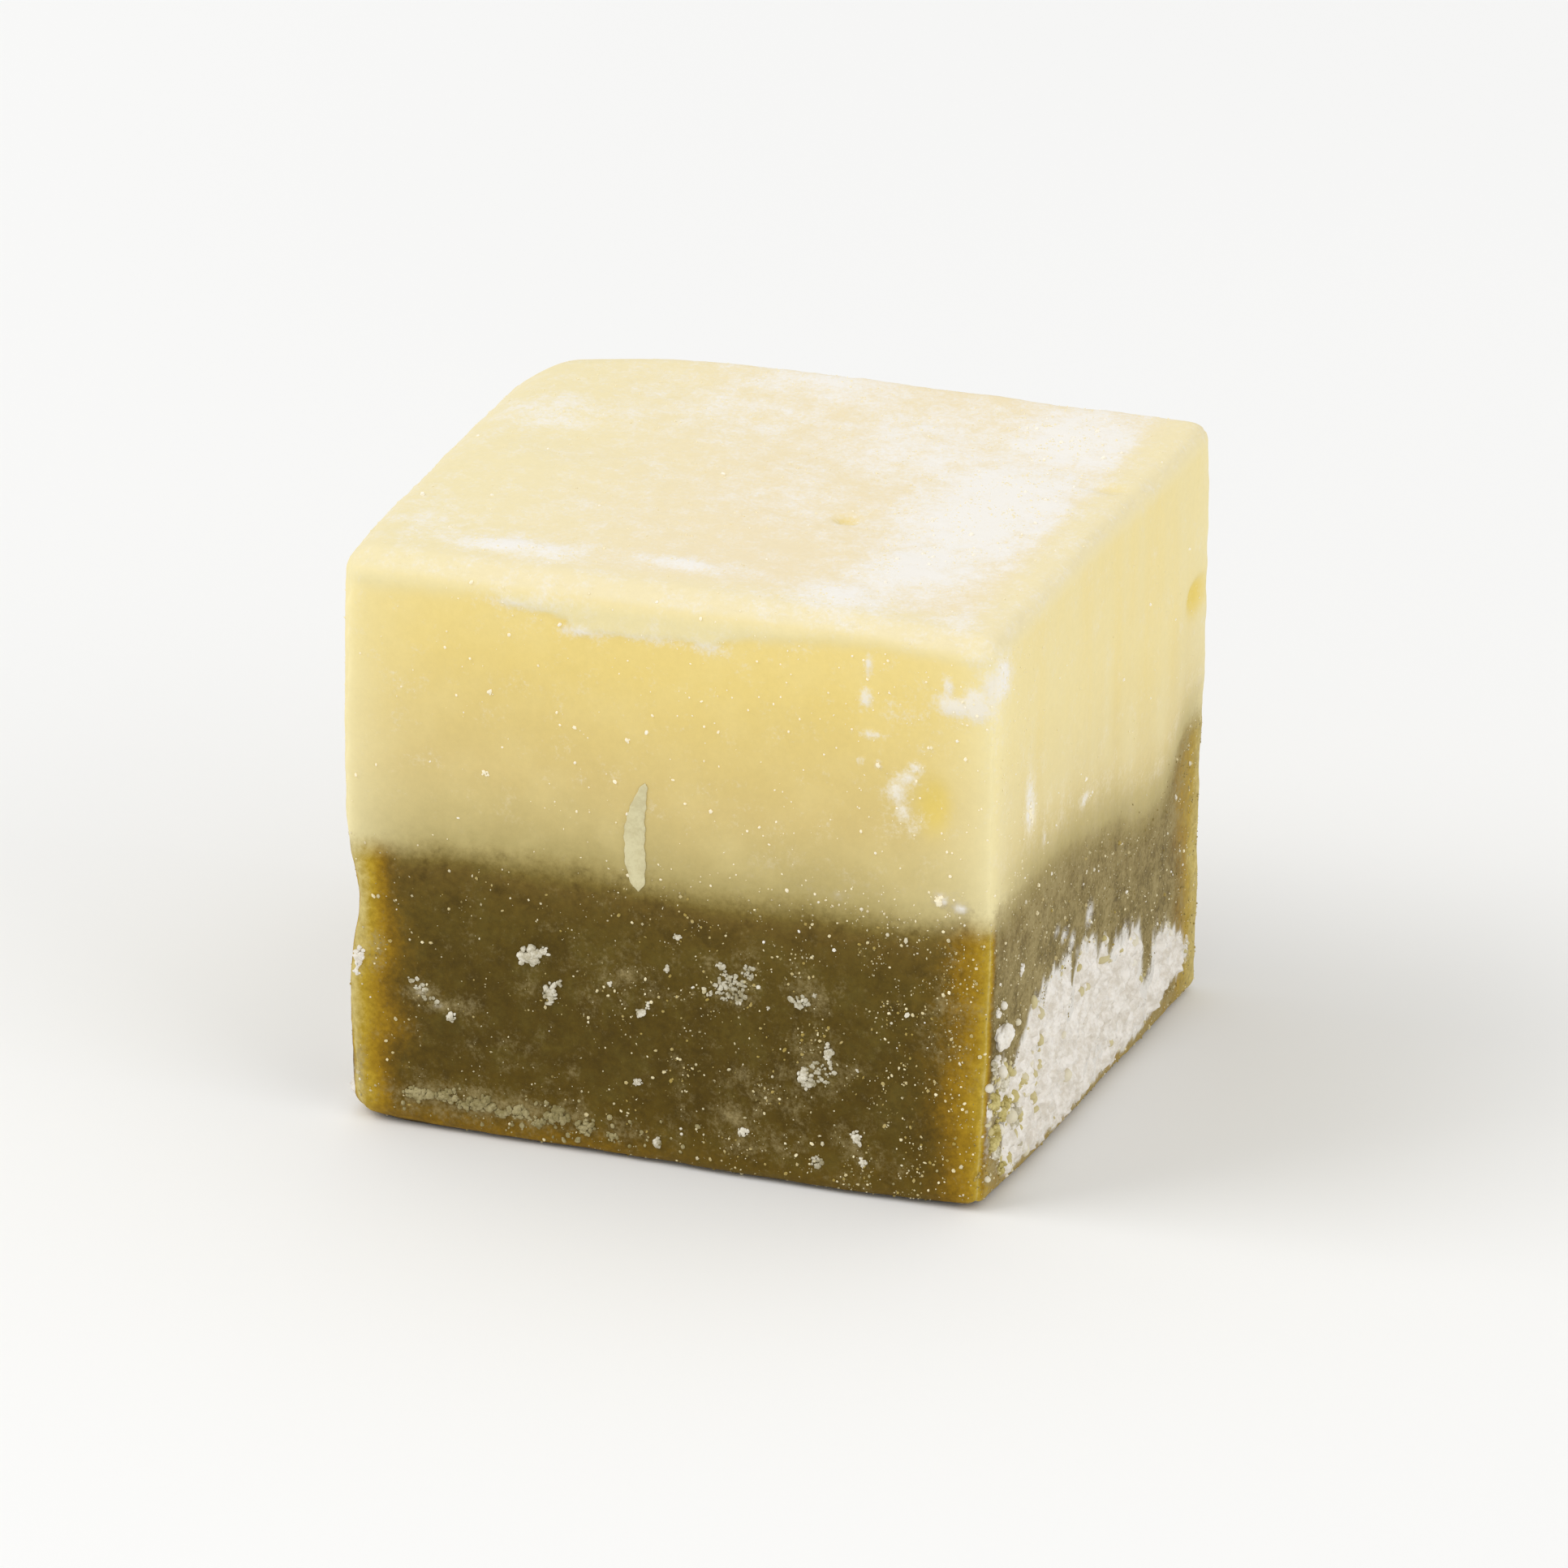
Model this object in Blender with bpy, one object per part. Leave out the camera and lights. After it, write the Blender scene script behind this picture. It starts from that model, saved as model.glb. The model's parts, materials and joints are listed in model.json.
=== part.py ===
"""Hojicha nama chocolate: one knife-cut cube of two soft layers, standing on its flat bottom.

The upper layer is pale yellow ganache and the lower one dark roasted-tea ganache. Both come from one
rule for the whole block: a box with worn edges, uneven corners, a pinched left side and slightly wavy
faces. The largest lumps and banks of the white dusting powder are fused to the layer they stick to.
Blender 4.5, metres, +Z up, front face towards -Y.
"""

import math

import bmesh
import bpy
from mathutils import Vector, noise

MM = 0.001

# The block
WIDTH = 22.0 * MM
DEPTH = 18.9 * MM
HEIGHT = 19.3 * MM
SEAM_HEIGHT = 9.55 * MM  # where the two layers meet, at the front
SEAM_FALL = 0.028  # how much lower the seam lies for each length towards the back
SEAM_WAVE = 0.13 * MM
SEAM_WAVELENGTH = 17.0 * MM
SEAM_GAP = 0.3 * MM

# Where the knife left each corner, away from the true box: left or right, front or back, bottom or top
CORNER_SHIFTS = {
    (-1, -1, 0): (0.40, 0.15, 0.0),
    (1, -1, 0): (-0.42, -0.20, 0.0),
    (-1, 1, 0): (-0.15, -0.15, 0.0),
    (1, 1, 0): (0.46, 0.11, 0.0),
    (-1, -1, 1): (0.12, 0.10, 0.02),
    (1, -1, 1): (-0.18, -0.10, -0.03),
    (-1, 1, 1): (-0.50, 0.05, 0.26),
    (1, 1, 1): (0.62, 0.20, 0.20),
}

# Rounding of the edges
SIDE_ROUNDING = 0.45 * MM
TOP_ROUNDING = 0.65 * MM
BOTTOM_ROUNDING = 0.45 * MM
ROUNDING_REACH = 2.2 * MM  # over this height the side rounding turns into that of the top or bottom
LARGEST_ROUNDING = 5.0 * MM
# Worn places: the middle, how far the wear reaches along x, y and z, and the rounding that it adds
WORN_PLACES = (
    ((-11.0, 9.45, 19.3), (4.6, 12.0, 6.0), 2.55),
    ((0.0, -9.45, 19.3), (14.0, 2.5, 2.5), 0.30),
    ((11.0, -9.45, 0.0), (2.5, 2.5, 2.5), 0.25),
    ((-11.0, -9.45, 0.0), (2.5, 2.5, 2.5), 0.45),
    ((4.5, 9.45, 0.0), (3.0, 2.4, 2.4), 0.90),
    ((-11.0, -1.0, 0.0), (2.8, 3.4, 2.8), 0.60),
)

# The pinch along the left side, just under the seam
PINCH_HEIGHT = 7.5 * MM
PINCH_SPREAD = 1.7 * MM
PINCH_DEPTH = 0.42 * MM

# Unevenness of the cut faces
FACE_SKIN = 2.5 * MM  # how deep into the block a face's waves are felt
BROAD_WAVE = 0.16 * MM
BROAD_WAVELENGTH = 8.0 * MM
FINE_WAVE = 0.05 * MM
FINE_WAVELENGTH = 2.6 * MM

# The sole: flat, straight-sided and a little inside the faces, so that the block stands on its four corners
SOLE_INSET = 0.5 * MM
SOLE_BOW = 0.005  # share by which the middle of each of its sides lies further in

# Spacing of the mesh: distances from an edge, then even steps
EDGE_STEPS = (0.15 * MM, 0.35 * MM, 0.65 * MM, 1.1 * MM, 1.8 * MM)
SOLE_STEPS = (0.65 * MM, 1.1 * MM, 1.8 * MM)  # above the sole
EVEN_STEP = 1.2 * MM

# Powder lumps fused to the layers. Front face: x, z, half width, half height
FRONT_LUMPS_DARK = (
    (-4.51, 6.54, 0.58, 0.42), (-3.93, 5.32, 0.36, 0.48), (-8.17, 4.91, 0.42, 0.34),
    (-7.25, 4.25, 0.30, 0.28), (2.25, 6.51, 0.55, 0.55), (1.83, 7.49, 0.26, 0.26),
    (4.93, 3.83, 0.36, 0.56), (5.60, 4.71, 0.28, 0.46), (-0.80, 5.13, 0.26, 0.26),
    (2.81, 1.80, 0.34, 0.34), (6.68, 2.08, 0.30, 0.42), (-0.24, 0.76, 0.28, 0.26),
    (-8.39, 1.56, 0.34, 0.30), (-6.26, 1.41, 0.46, 0.34), (-4.39, 1.67, 0.50, 0.38),
    (-2.69, 1.38, 0.46, 0.40), (-1.42, 1.21, 0.40, 0.42),
)
FRONT_LUMPS_PALE = (
    (-0.97, 10.90, 0.36, 1.75), (9.22, 10.39, 0.28, 0.28), (9.72, 10.20, 0.42, 0.32),
    (-2.54, 17.85, 0.50, 0.26), (1.65, 18.05, 0.50, 0.30), (10.05, 17.70, 0.70, 0.75),
    (9.30, 17.20, 0.50, 0.34),
)
# Right face: y, z, half width, half height
RIGHT_LUMPS_DARK = ((-8.75, 6.10, 0.55, 0.42), (-6.9, 7.3, 0.3, 0.4))
LUMP_THICKNESS = 0.34 * MM
LUMP_ROUGHNESS = 0.3
LUMP_SINK = 0.25  # share of its thickness that a lump is pressed in

# Banks of caked powder, smeared up the lower part of a face. Side of the box, then how high the bank
# reaches at even steps along the face, from its left end to its right end as seen from outside
POWDER_BANKS = (
    ("right", (5.2, 3.4, 5.2, 6.6, 7.2, 5.4, 4.6, 3.8, 3.4, 2.6)),
    ("back", (1.2, 2.6, 3.4, 2.2, 1.0, 0.6, 1.4, 0.8)),
    ("left", (0.8, 1.0, 2.2, 3.0, 1.8, 0.9, 1.2)),
)
BANK_STEP = 0.55 * MM
BANK_FOOT = 0.75 * MM  # height at which a bank starts
BANK_RISE = 0.20 * MM
BANK_SOFTNESS = 1.6 * MM
BANK_ROUGHNESS = 0.95
BANK_GRAIN = (1.15 * MM, 2.0 * MM)  # size of its lumps across and up: they are drawn out upwards
BANK_DEPTH = 0.7 * MM  # how deep the bank's solid goes under the face

# Finish: colour, roughness
PALE_GANACHE = ((0.78, 0.63, 0.27, 1.0), 0.55)
DARK_GANACHE = ((0.125, 0.085, 0.022, 1.0), 0.5)


def clear_scene():
    for obj in list(bpy.data.objects):
        bpy.data.objects.remove(obj, do_unlink=True)


def eased(value):
    """0 below 0, 1 above 1, and smooth between."""
    value = min(max(value, 0.0), 1.0)
    return value * value * (3.0 - 2.0 * value)


def seam_at(x, y):
    """Height of the middle of the seam."""
    turn = 2.0 * math.pi / SEAM_WAVELENGTH
    wave = SEAM_WAVE * math.sin(turn * x + 0.6) * math.cos(turn * 0.8 * y)
    return SEAM_HEIGHT - SEAM_FALL * (y + DEPTH / 2.0) + wave


def rounding_at(place):
    """How far the edges near a place are rounded."""
    radius = SIDE_ROUNDING
    near_top = eased(1.0 - (HEIGHT - place.z) / ROUNDING_REACH)
    near_bottom = eased(1.0 - place.z / ROUNDING_REACH)
    radius += (TOP_ROUNDING - SIDE_ROUNDING) * near_top + (BOTTOM_ROUNDING - SIDE_ROUNDING) * near_bottom
    for middle, reach, added in WORN_PLACES:
        away = [(place[i] / MM - middle[i]) / reach[i] for i in range(3)]
        radius += added * MM * math.exp(-sum(part * part for part in away))
    return min(radius, LARGEST_ROUNDING)


def rounded(place):
    """The place moved from the sharp box into the box with rounded edges."""
    radius = rounding_at(place)
    half = (WIDTH / 2.0, DEPTH / 2.0, HEIGHT / 2.0)
    centre = Vector((0.0, 0.0, HEIGHT / 2.0))
    from_centre = place - centre
    core = Vector([min(max(from_centre[i], radius - half[i]), half[i] - radius) for i in range(3)])
    beyond = from_centre - core
    if beyond.length < 1e-9:
        return place.copy()
    return centre + core + beyond * (max(abs(part) for part in beyond) / beyond.length)


def skewed(place):
    """The place moved by the shifts of the eight corners."""
    right = place.x / WIDTH + 0.5
    behind = place.y / DEPTH + 0.5
    above = place.z / HEIGHT
    shift = Vector()
    for (side, end, level), corner_shift in CORNER_SHIFTS.items():
        share = right if side > 0 else 1.0 - right
        share *= behind if end > 0 else 1.0 - behind
        share *= above if level > 0 else 1.0 - above
        shift += Vector(corner_shift) * MM * share
    return shift


def wave_at(place, seed):
    broad = noise.noise(place / BROAD_WAVELENGTH + Vector((seed, 0.0, 0.0)))
    fine = noise.noise(place / FINE_WAVELENGTH + Vector((0.0, seed, 0.0)))
    return BROAD_WAVE * broad + FINE_WAVE * fine


def waved(place):
    """How far the uneven cut moves a place, outwards from each face that it is near."""
    side = eased((abs(place.x) - WIDTH / 2.0 + FACE_SKIN) / FACE_SKIN)
    end = eased((abs(place.y) - DEPTH / 2.0 + FACE_SKIN) / FACE_SKIN)
    top = eased((place.z - HEIGHT + FACE_SKIN) / FACE_SKIN)
    push = Vector((
        math.copysign(side, place.x) * wave_at(place, 3.1),
        math.copysign(end, place.y) * wave_at(place, 7.7),
        top * wave_at(place, 12.3),
    ))
    if place.x < 0.0:
        off_pinch = (place.z - PINCH_HEIGHT) / PINCH_SPREAD
        push.x += side * PINCH_DEPTH * math.exp(-off_pinch * off_pinch)
    return push


def shaped(place):
    """A place in the true box, moved to where it is in the real block."""
    return rounded(place) + skewed(place) + waved(place)


def on_sole(place):
    """A place of the true box's bottom, moved to the flat sole."""
    bow_x = 1.0 - SOLE_BOW * (1.0 - (2.0 * place.y / DEPTH) ** 2)
    bow_y = 1.0 - SOLE_BOW * (1.0 - (2.0 * place.x / WIDTH) ** 2)
    inner = Vector((
        place.x * (1.0 - 2.0 * SOLE_INSET / WIDTH) * bow_x,
        place.y * (1.0 - 2.0 * SOLE_INSET / DEPTH) * bow_y,
        0.0,
    ))
    return inner + skewed(inner)


def stations(low, high, from_low=EDGE_STEPS, from_high=EDGE_STEPS):
    """Where a side of the box is cut: close together at its rounded edges, then even."""
    first = low + (from_low[-1] if from_low else 0.0)
    last = high - (from_high[-1] if from_high else 0.0)
    count = max(1, round((last - first) / EVEN_STEP))
    even = [first + (last - first) * step / count for step in range(count + 1)]
    places = [low + step for step in from_low] + even + [high - step for step in from_high]
    return sorted({round(place, 7) for place in places if low < place - 1e-6 and place + 1e-6 < high})


def sliced_box(bottom, top, from_bottom, from_top):
    """A box primitive between two heights, with edge loops at the stations."""
    mesh = bmesh.new()
    bmesh.ops.create_cube(mesh, size=1.0)
    bmesh.ops.scale(mesh, vec=(WIDTH, DEPTH, top - bottom), verts=mesh.verts)
    bmesh.ops.translate(mesh, vec=(0.0, 0.0, (top + bottom) / 2.0), verts=mesh.verts)
    cuts = (
        (Vector((1.0, 0.0, 0.0)), stations(-WIDTH / 2.0, WIDTH / 2.0)),
        (Vector((0.0, 1.0, 0.0)), stations(-DEPTH / 2.0, DEPTH / 2.0)),
        (Vector((0.0, 0.0, 1.0)), stations(bottom, top, from_bottom, from_top)),
    )
    for direction, places in cuts:
        for place in places:
            everything = mesh.verts[:] + mesh.edges[:] + mesh.faces[:]
            bmesh.ops.bisect_plane(
                mesh, geom=everything, dist=1e-8, plane_co=direction * place, plane_no=direction
            )
    return mesh


def layer(name, bottom, top, seam_side, finish, parts):
    """One layer of the block. seam_side is +1 above the seam and -1 below it."""
    mesh = sliced_box(bottom, top, SOLE_STEPS if seam_side < 0 else (), EDGE_STEPS if seam_side > 0 else ())
    seam_level = bottom if seam_side > 0 else top
    for vertex in mesh.verts:
        place = vertex.co.copy()
        # The seam's own waves fade out towards the layer's far face
        share = 1.0 - abs(place.z - seam_level) / (top - bottom)
        seam = seam_at(place.x, place.y) + seam_side * SEAM_GAP / 2.0
        at_sole = seam_side < 0 and place.z - bottom < 1e-6
        place.z += (seam - seam_level) * share
        vertex.co = on_sole(place) if at_sole else shaped(place)
    data = bpy.data.meshes.new(name)
    bmesh.ops.recalc_face_normals(mesh, faces=mesh.faces)
    mesh.to_mesh(data)
    mesh.free()
    block = bpy.data.objects.new(name, data)
    parts.objects.link(block)
    data.materials.append(material(name, *finish))
    return block


def lump(place, direction, half_sizes, detail, holder):
    """A rough flattened pebble of powder. half_sizes are across, up and out of the face."""
    mesh = bmesh.new()
    bmesh.ops.create_icosphere(mesh, subdivisions=detail, radius=1.0)
    across = Vector((-direction.y, direction.x, 0.0))
    upwards = Vector((0.0, 0.0, 1.0))
    centre = place - direction * (half_sizes[2] * LUMP_SINK)
    for vertex in mesh.verts:
        rough = 1.0 + LUMP_ROUGHNESS * noise.noise(vertex.co * 1.7 + place * 900.0)
        offset = vertex.co * rough
        vertex.co = (
            centre
            + across * (offset.x * half_sizes[0])
            + upwards * (offset.z * half_sizes[1])
            + direction * (offset.y * half_sizes[2])
        )
    bmesh.ops.recalc_face_normals(mesh, faces=mesh.faces)
    data = bpy.data.meshes.new("powder_lump")
    mesh.to_mesh(data)
    mesh.free()
    pebble = bpy.data.objects.new("powder_lump", data)
    holder.objects.link(pebble)


def side_of(name):
    """Outward direction, direction from left to right seen from outside, and half width of a face."""
    outward = {"right": (1, 0), "back": (0, 1), "left": (-1, 0)}[name]
    direction = Vector((outward[0], outward[1], 0.0))
    across = Vector((-direction.y, direction.x, 0.0))
    half_width = DEPTH / 2.0 if direction.x else WIDTH / 2.0
    half_depth = WIDTH / 2.0 if direction.x else DEPTH / 2.0
    return direction, across, half_width, half_depth


def bank_top(heights, share):
    """Height of a bank's upper edge, share of the way along its face."""
    place = share * (len(heights) - 1)
    before = min(int(place), len(heights) - 2)
    part = eased(place - before)
    return (heights[before] * (1.0 - part) + heights[before + 1] * part) * MM


def bank(side, heights, holder):
    """A lumpy slab just under the face. Only its high places rise out, which gives it a ragged edge."""
    direction, across, half_width, half_depth = side_of(side)
    top = max(heights) * MM + BANK_SOFTNESS
    margin = SIDE_ROUNDING
    columns = round(2.0 * (half_width - margin) / BANK_STEP)
    rows = round((top - BANK_FOOT) / BANK_STEP)
    mesh = bmesh.new()
    bmesh.ops.create_grid(mesh, x_segments=columns, y_segments=rows, size=1.0)
    for vertex in mesh.verts:
        u = vertex.co.x * (half_width - margin)
        z = BANK_FOOT + (vertex.co.y + 1.0) / 2.0 * (top - BANK_FOOT)
        place = shaped(across * u + direction * half_depth + Vector((0.0, 0.0, z)))
        below_top = (bank_top(heights, (vertex.co.x + 1.0) / 2.0) - z) / BANK_SOFTNESS
        grain = noise.noise(Vector((u / BANK_GRAIN[0], z / BANK_GRAIN[1], half_width / MM)))
        fullness = min(max(below_top, -1.0), 0.6) + BANK_ROUGHNESS * grain
        at_rim = max(abs(vertex.co.x), abs(vertex.co.y)) > 1.0 - 1e-4
        rise = -BANK_RISE if at_rim else BANK_RISE * min(max(fullness, -1.0), 1.3)
        vertex.co = place + direction * rise
    inner = bmesh.ops.extrude_face_region(mesh, geom=mesh.faces[:])
    moved = [part for part in inner["geom"] if isinstance(part, bmesh.types.BMVert)]
    bmesh.ops.translate(mesh, vec=direction * -BANK_DEPTH, verts=moved)
    bmesh.ops.recalc_face_normals(mesh, faces=mesh.faces)
    bmesh.ops.triangulate(mesh, faces=mesh.faces)
    data = bpy.data.meshes.new("powder_bank")
    mesh.to_mesh(data)
    mesh.free()
    holder.objects.link(bpy.data.objects.new("powder_bank", data))


def fuse_powder(block, front_lumps, right_lumps, banks):
    """Joins the lumps and banks of powder to the layer with one union, and removes the loose ones."""
    holder = bpy.data.collections.new("powder")
    bpy.context.scene.collection.children.link(holder)
    for x, z, across, upwards in front_lumps:
        place = shaped(Vector((x * MM, -DEPTH / 2.0, z * MM)))
        detail = 2 if max(across, upwards) > 0.4 else 1
        sizes = (across * MM, upwards * MM, LUMP_THICKNESS)
        lump(place, Vector((0.0, -1.0, 0.0)), sizes, detail, holder)
    for y, z, across, upwards in right_lumps:
        place = shaped(Vector((WIDTH / 2.0, y * MM, z * MM)))
        sizes = (across * MM, upwards * MM, LUMP_THICKNESS)
        lump(place, Vector((1.0, 0.0, 0.0)), sizes, 2, holder)
    for side, heights in banks:
        bank(side, heights, holder)
    union = block.modifiers.new("fused_powder", "BOOLEAN")
    union.operation = "UNION"
    union.operand_type = "COLLECTION"
    union.collection = holder
    bpy.context.view_layer.update()
    fused = bpy.data.meshes.new_from_object(block.evaluated_get(bpy.context.evaluated_depsgraph_get()))
    block.modifiers.remove(union)
    block.data = fused
    for loose in list(holder.objects):
        bpy.data.objects.remove(loose, do_unlink=True)
    bpy.data.collections.remove(holder)


def material(name, colour, roughness):
    made = bpy.data.materials.new(name)
    made.use_nodes = True
    shader = made.node_tree.nodes["Principled BSDF"]
    shader.inputs["Base Color"].default_value = colour
    shader.inputs["Roughness"].default_value = roughness
    shader.inputs["Metallic"].default_value = 0.0
    made.diffuse_color = colour
    return made


def centre_on_origin(blocks):
    """Puts the middle of the whole block's box over the origin. The bottom already lies at height 0."""
    corners = [vertex.co for block in blocks for vertex in block.data.vertices]
    middle = [(min(c[i] for c in corners) + max(c[i] for c in corners)) / 2.0 for i in range(2)]
    for block in blocks:
        for vertex in block.data.vertices:
            vertex.co.x -= middle[0]
            vertex.co.y -= middle[1]


def main():
    clear_scene()
    parts = bpy.data.collections.new("hojicha_nama_chocolate")
    bpy.context.scene.collection.children.link(parts)
    pale = layer("white_chocolate_layer", SEAM_HEIGHT, HEIGHT, 1, PALE_GANACHE, parts)
    dark = layer("hojicha_layer", 0.0, SEAM_HEIGHT, -1, DARK_GANACHE, parts)
    fuse_powder(pale, FRONT_LUMPS_PALE, (), ())
    fuse_powder(dark, FRONT_LUMPS_DARK, RIGHT_LUMPS_DARK, POWDER_BANKS)
    centre_on_origin((pale, dark))
    for block in (pale, dark):
        block.data.shade_smooth()
        block.data.set_sharp_from_angle(angle=math.radians(40.0))


main()
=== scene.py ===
# Hojicha nama chocolate: a cube of two soft layers, cut with a knife and dusted with white powder.
# Blender 4.5, metres, +Z up. Sizes in the dictionaries are millimetres.
import json
import math

import bmesh
import bpy
import numpy as np
from mathutils import Matrix, Vector, noise

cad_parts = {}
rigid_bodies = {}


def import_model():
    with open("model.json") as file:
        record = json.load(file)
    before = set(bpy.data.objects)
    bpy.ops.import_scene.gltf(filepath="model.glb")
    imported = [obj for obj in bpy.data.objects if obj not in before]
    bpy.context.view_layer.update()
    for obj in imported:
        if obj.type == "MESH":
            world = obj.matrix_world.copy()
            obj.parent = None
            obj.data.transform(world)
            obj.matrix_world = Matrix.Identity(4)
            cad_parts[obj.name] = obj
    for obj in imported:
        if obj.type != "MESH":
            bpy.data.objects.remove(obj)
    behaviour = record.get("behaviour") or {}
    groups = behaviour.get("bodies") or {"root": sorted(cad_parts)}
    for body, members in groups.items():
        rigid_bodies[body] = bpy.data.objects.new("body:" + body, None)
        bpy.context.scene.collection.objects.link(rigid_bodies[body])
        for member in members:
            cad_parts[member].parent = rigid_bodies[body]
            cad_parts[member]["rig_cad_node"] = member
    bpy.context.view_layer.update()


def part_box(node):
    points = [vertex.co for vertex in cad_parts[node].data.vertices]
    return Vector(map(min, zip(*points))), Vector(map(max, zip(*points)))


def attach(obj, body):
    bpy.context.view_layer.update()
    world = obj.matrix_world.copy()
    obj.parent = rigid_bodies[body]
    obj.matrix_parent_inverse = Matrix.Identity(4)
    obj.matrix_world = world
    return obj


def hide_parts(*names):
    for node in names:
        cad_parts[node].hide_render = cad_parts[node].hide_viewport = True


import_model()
mm = 0.001

# The block as the knife left it: the same rule as the solids
block = {
    "width": 22.0,
    "depth": 18.9,
    "height": 19.3,
    "seamHeight": 9.55,
    "seamFall": 0.028,
    "seamWave": 0.13,
    "seamWavelength": 17.0,
    "cornerShifts": {   # left or right, front or back, bottom or top
        (-1, -1, 0): (0.4, 0.15, 0.0),
        (1, -1, 0): (-0.42, -0.2, 0.0),
        (-1, 1, 0): (-0.15, -0.15, 0.0),
        (1, 1, 0): (0.46, 0.11, 0.0),
        (-1, -1, 1): (0.12, 0.1, 0.02),
        (1, -1, 1): (-0.18, -0.1, -0.03),
        (-1, 1, 1): (-0.5, 0.05, 0.26),
        (1, 1, 1): (0.62, 0.2, 0.2),
    },
    "sideRounding": 0.45,
    "topRounding": 0.65,
    "bottomRounding": 0.45,
    "roundingReach": 2.2,
    "largestRounding": 5.0,
    "wornPlaces": (   # middle, reach along x, y and z, rounding added
        ((-11.0, 9.45, 19.3), (4.6, 12.0, 6.0), 2.55),
        ((0.0, -9.45, 19.3), (14.0, 2.5, 2.5), 0.3),
        ((11.0, -9.45, 0.0), (2.5, 2.5, 2.5), 0.25),
        ((-11.0, -9.45, 0.0), (2.5, 2.5, 2.5), 0.45),
        ((4.5, 9.45, 0.0), (3.0, 2.4, 2.4), 0.9),
        ((-11.0, -1.0, 0.0), (2.8, 3.4, 2.8), 0.6),
    ),
    "pinchHeight": 7.5,
    "pinchSpread": 1.7,
    "pinchDepth": 0.42,
    "faceSkin": 2.5,
    "broadWave": 0.16,
    "broadWavelength": 8.0,
    "fineWave": 0.05,
    "fineWavelength": 2.6,
}
halfWidth = block["width"] / 2.0
halfDepth = block["depth"] / 2.0

# Relief finer than the solids hold
relief = {
    "ledge": (   # x and z along the front, where the top's skin ends in a small step
        (-11.2, 18.05), (-8.0, 18.25), (-5.6, 18.4), (-5.1, 18.2), (-3.3, 18.02), (-3.0, 17.6),
        (0.9, 17.85), (1.2, 17.72), (2.1, 17.98), (6.8, 18.4), (9.0, 18.45), (11.2, 18.3),
    ),
    "ledgeStep": 0.08,
    "ledgeSoftness": 0.2,
    "dents": (   # face, place on it, half size, depth, how much moister and yellower it looks
        ("front", (8.95, 13.55), (0.54, 0.86), 0.11, 0.74),
        ("front", (-9.9, 3.4), (0.5, 0.9), 0.1, 0.0),
        ("front", (4.2, 15.2), (1.2, 0.9), 0.05, 0.0),
        ("top", (3.22, -1.75), (0.4, 0.34), 0.18, 0.6),
        ("top", (9.9, 3.2), (0.6, 0.35), 0.12, 0.2),
        ("top", (-6.5, 1.5), (2.2, 1.6), 0.08, 0.0),
        ("right", (8.15, 13.85), (0.8, 0.56), 0.2, 0.95),
        ("right", (8.5, 5.0), (0.35, 0.7), 0.12, 0.0),
        ("back", (3.1, 12.5), (0.45, 0.55), 0.22, 0.7),
        ("back", (-6.4, 15.1), (0.3, 0.3), 0.16, 0.5),
        ("left", (-4.4, 13.2), (0.4, 0.5), 0.2, 0.7),
        ("left", (5.6, 4.1), (0.5, 0.35), 0.18, 0.4),
    ),
    "dragDepth": 0.014,
    "dragSize": (0.34, 0.34, 7.0),
    "grainDepth": 0.012,
    "grainSize": 0.55,
    "filmDepth": 0.05,
    "edgeNicks": 0.06,
    "edgeNickSize": 0.75,
}

# Spacing of the layers' mesh, and the flat sole that the block stands on
mesh = {
    "edgeSteps": (0.05, 0.11, 0.18, 0.26, 0.35, 0.45, 0.56),
    "step": 0.125,
    "soleInset": 0.5,
    "soleRounding": 1.6,
}

# Each face: outward direction, which coordinates run along it, how far out it lies
faces = {
    "front": ((0, -1, 0), (0, 2), halfDepth),
    "back": ((0, 1, 0), (0, 2), halfDepth),
    "right": ((1, 0, 0), (1, 2), halfWidth),
    "left": ((-1, 0, 0), (1, 2), halfWidth),
    "top": ((0, 0, 1), (0, 1), block["height"]),
}


# 0 below 0, 1 above 1, and smooth between
def eased(value):
    value = np.clip(value, 0.0, 1.0)
    return value * value * (3.0 - 2.0 * value)


def hill(value, middle, width):
    return np.exp(-((value - middle) / width) ** 2)


def perlin(places, wavelength, shift):
    moved = places / np.array(wavelength) + np.array(shift)
    return np.array([noise.noise(place) for place in moved.tolist()])


def crumbly(places, wavelength, shift, octaves=4):
    moved = places / np.array(wavelength) + np.array(shift)
    return np.array([noise.fractal(place, 0.9, 2.1, octaves) for place in moved.tolist()])


def seamAt(x, y):
    turn = 2.0 * math.pi / block["seamWavelength"]
    wave = block["seamWave"] * np.sin(turn * x + 0.6) * np.cos(turn * 0.8 * y)
    return block["seamHeight"] - block["seamFall"] * (y + halfDepth) + wave


# Places in a box round the origin, moved in so that its edges are rounded
def rounded(places, half, radius):
    core = np.clip(places, radius - half, half - radius)
    beyond = places - core
    length = np.maximum(np.linalg.norm(beyond, axis=1), 1e-9)
    return core + beyond * (np.abs(beyond).max(axis=1) / length)[:, None]


def roundedPlaces(places):
    height = block["height"]
    radius = np.full(len(places), block["sideRounding"])
    nearTop = eased(1.0 - (height - places[:, 2]) / block["roundingReach"])
    nearBottom = eased(1.0 - places[:, 2] / block["roundingReach"])
    radius += (block["topRounding"] - block["sideRounding"]) * nearTop
    radius += (block["bottomRounding"] - block["sideRounding"]) * nearBottom
    for middle, reach, added in block["wornPlaces"]:
        away = (places - np.array(middle)) / np.array(reach)
        radius += added * np.exp(-(away ** 2).sum(axis=1))
    radius = np.minimum(radius, block["largestRounding"])[:, None]
    half = np.array((halfWidth, halfDepth, height / 2.0))
    centre = half * (0.0, 0.0, 1.0)
    return centre + rounded(places - centre, half, radius)


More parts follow.
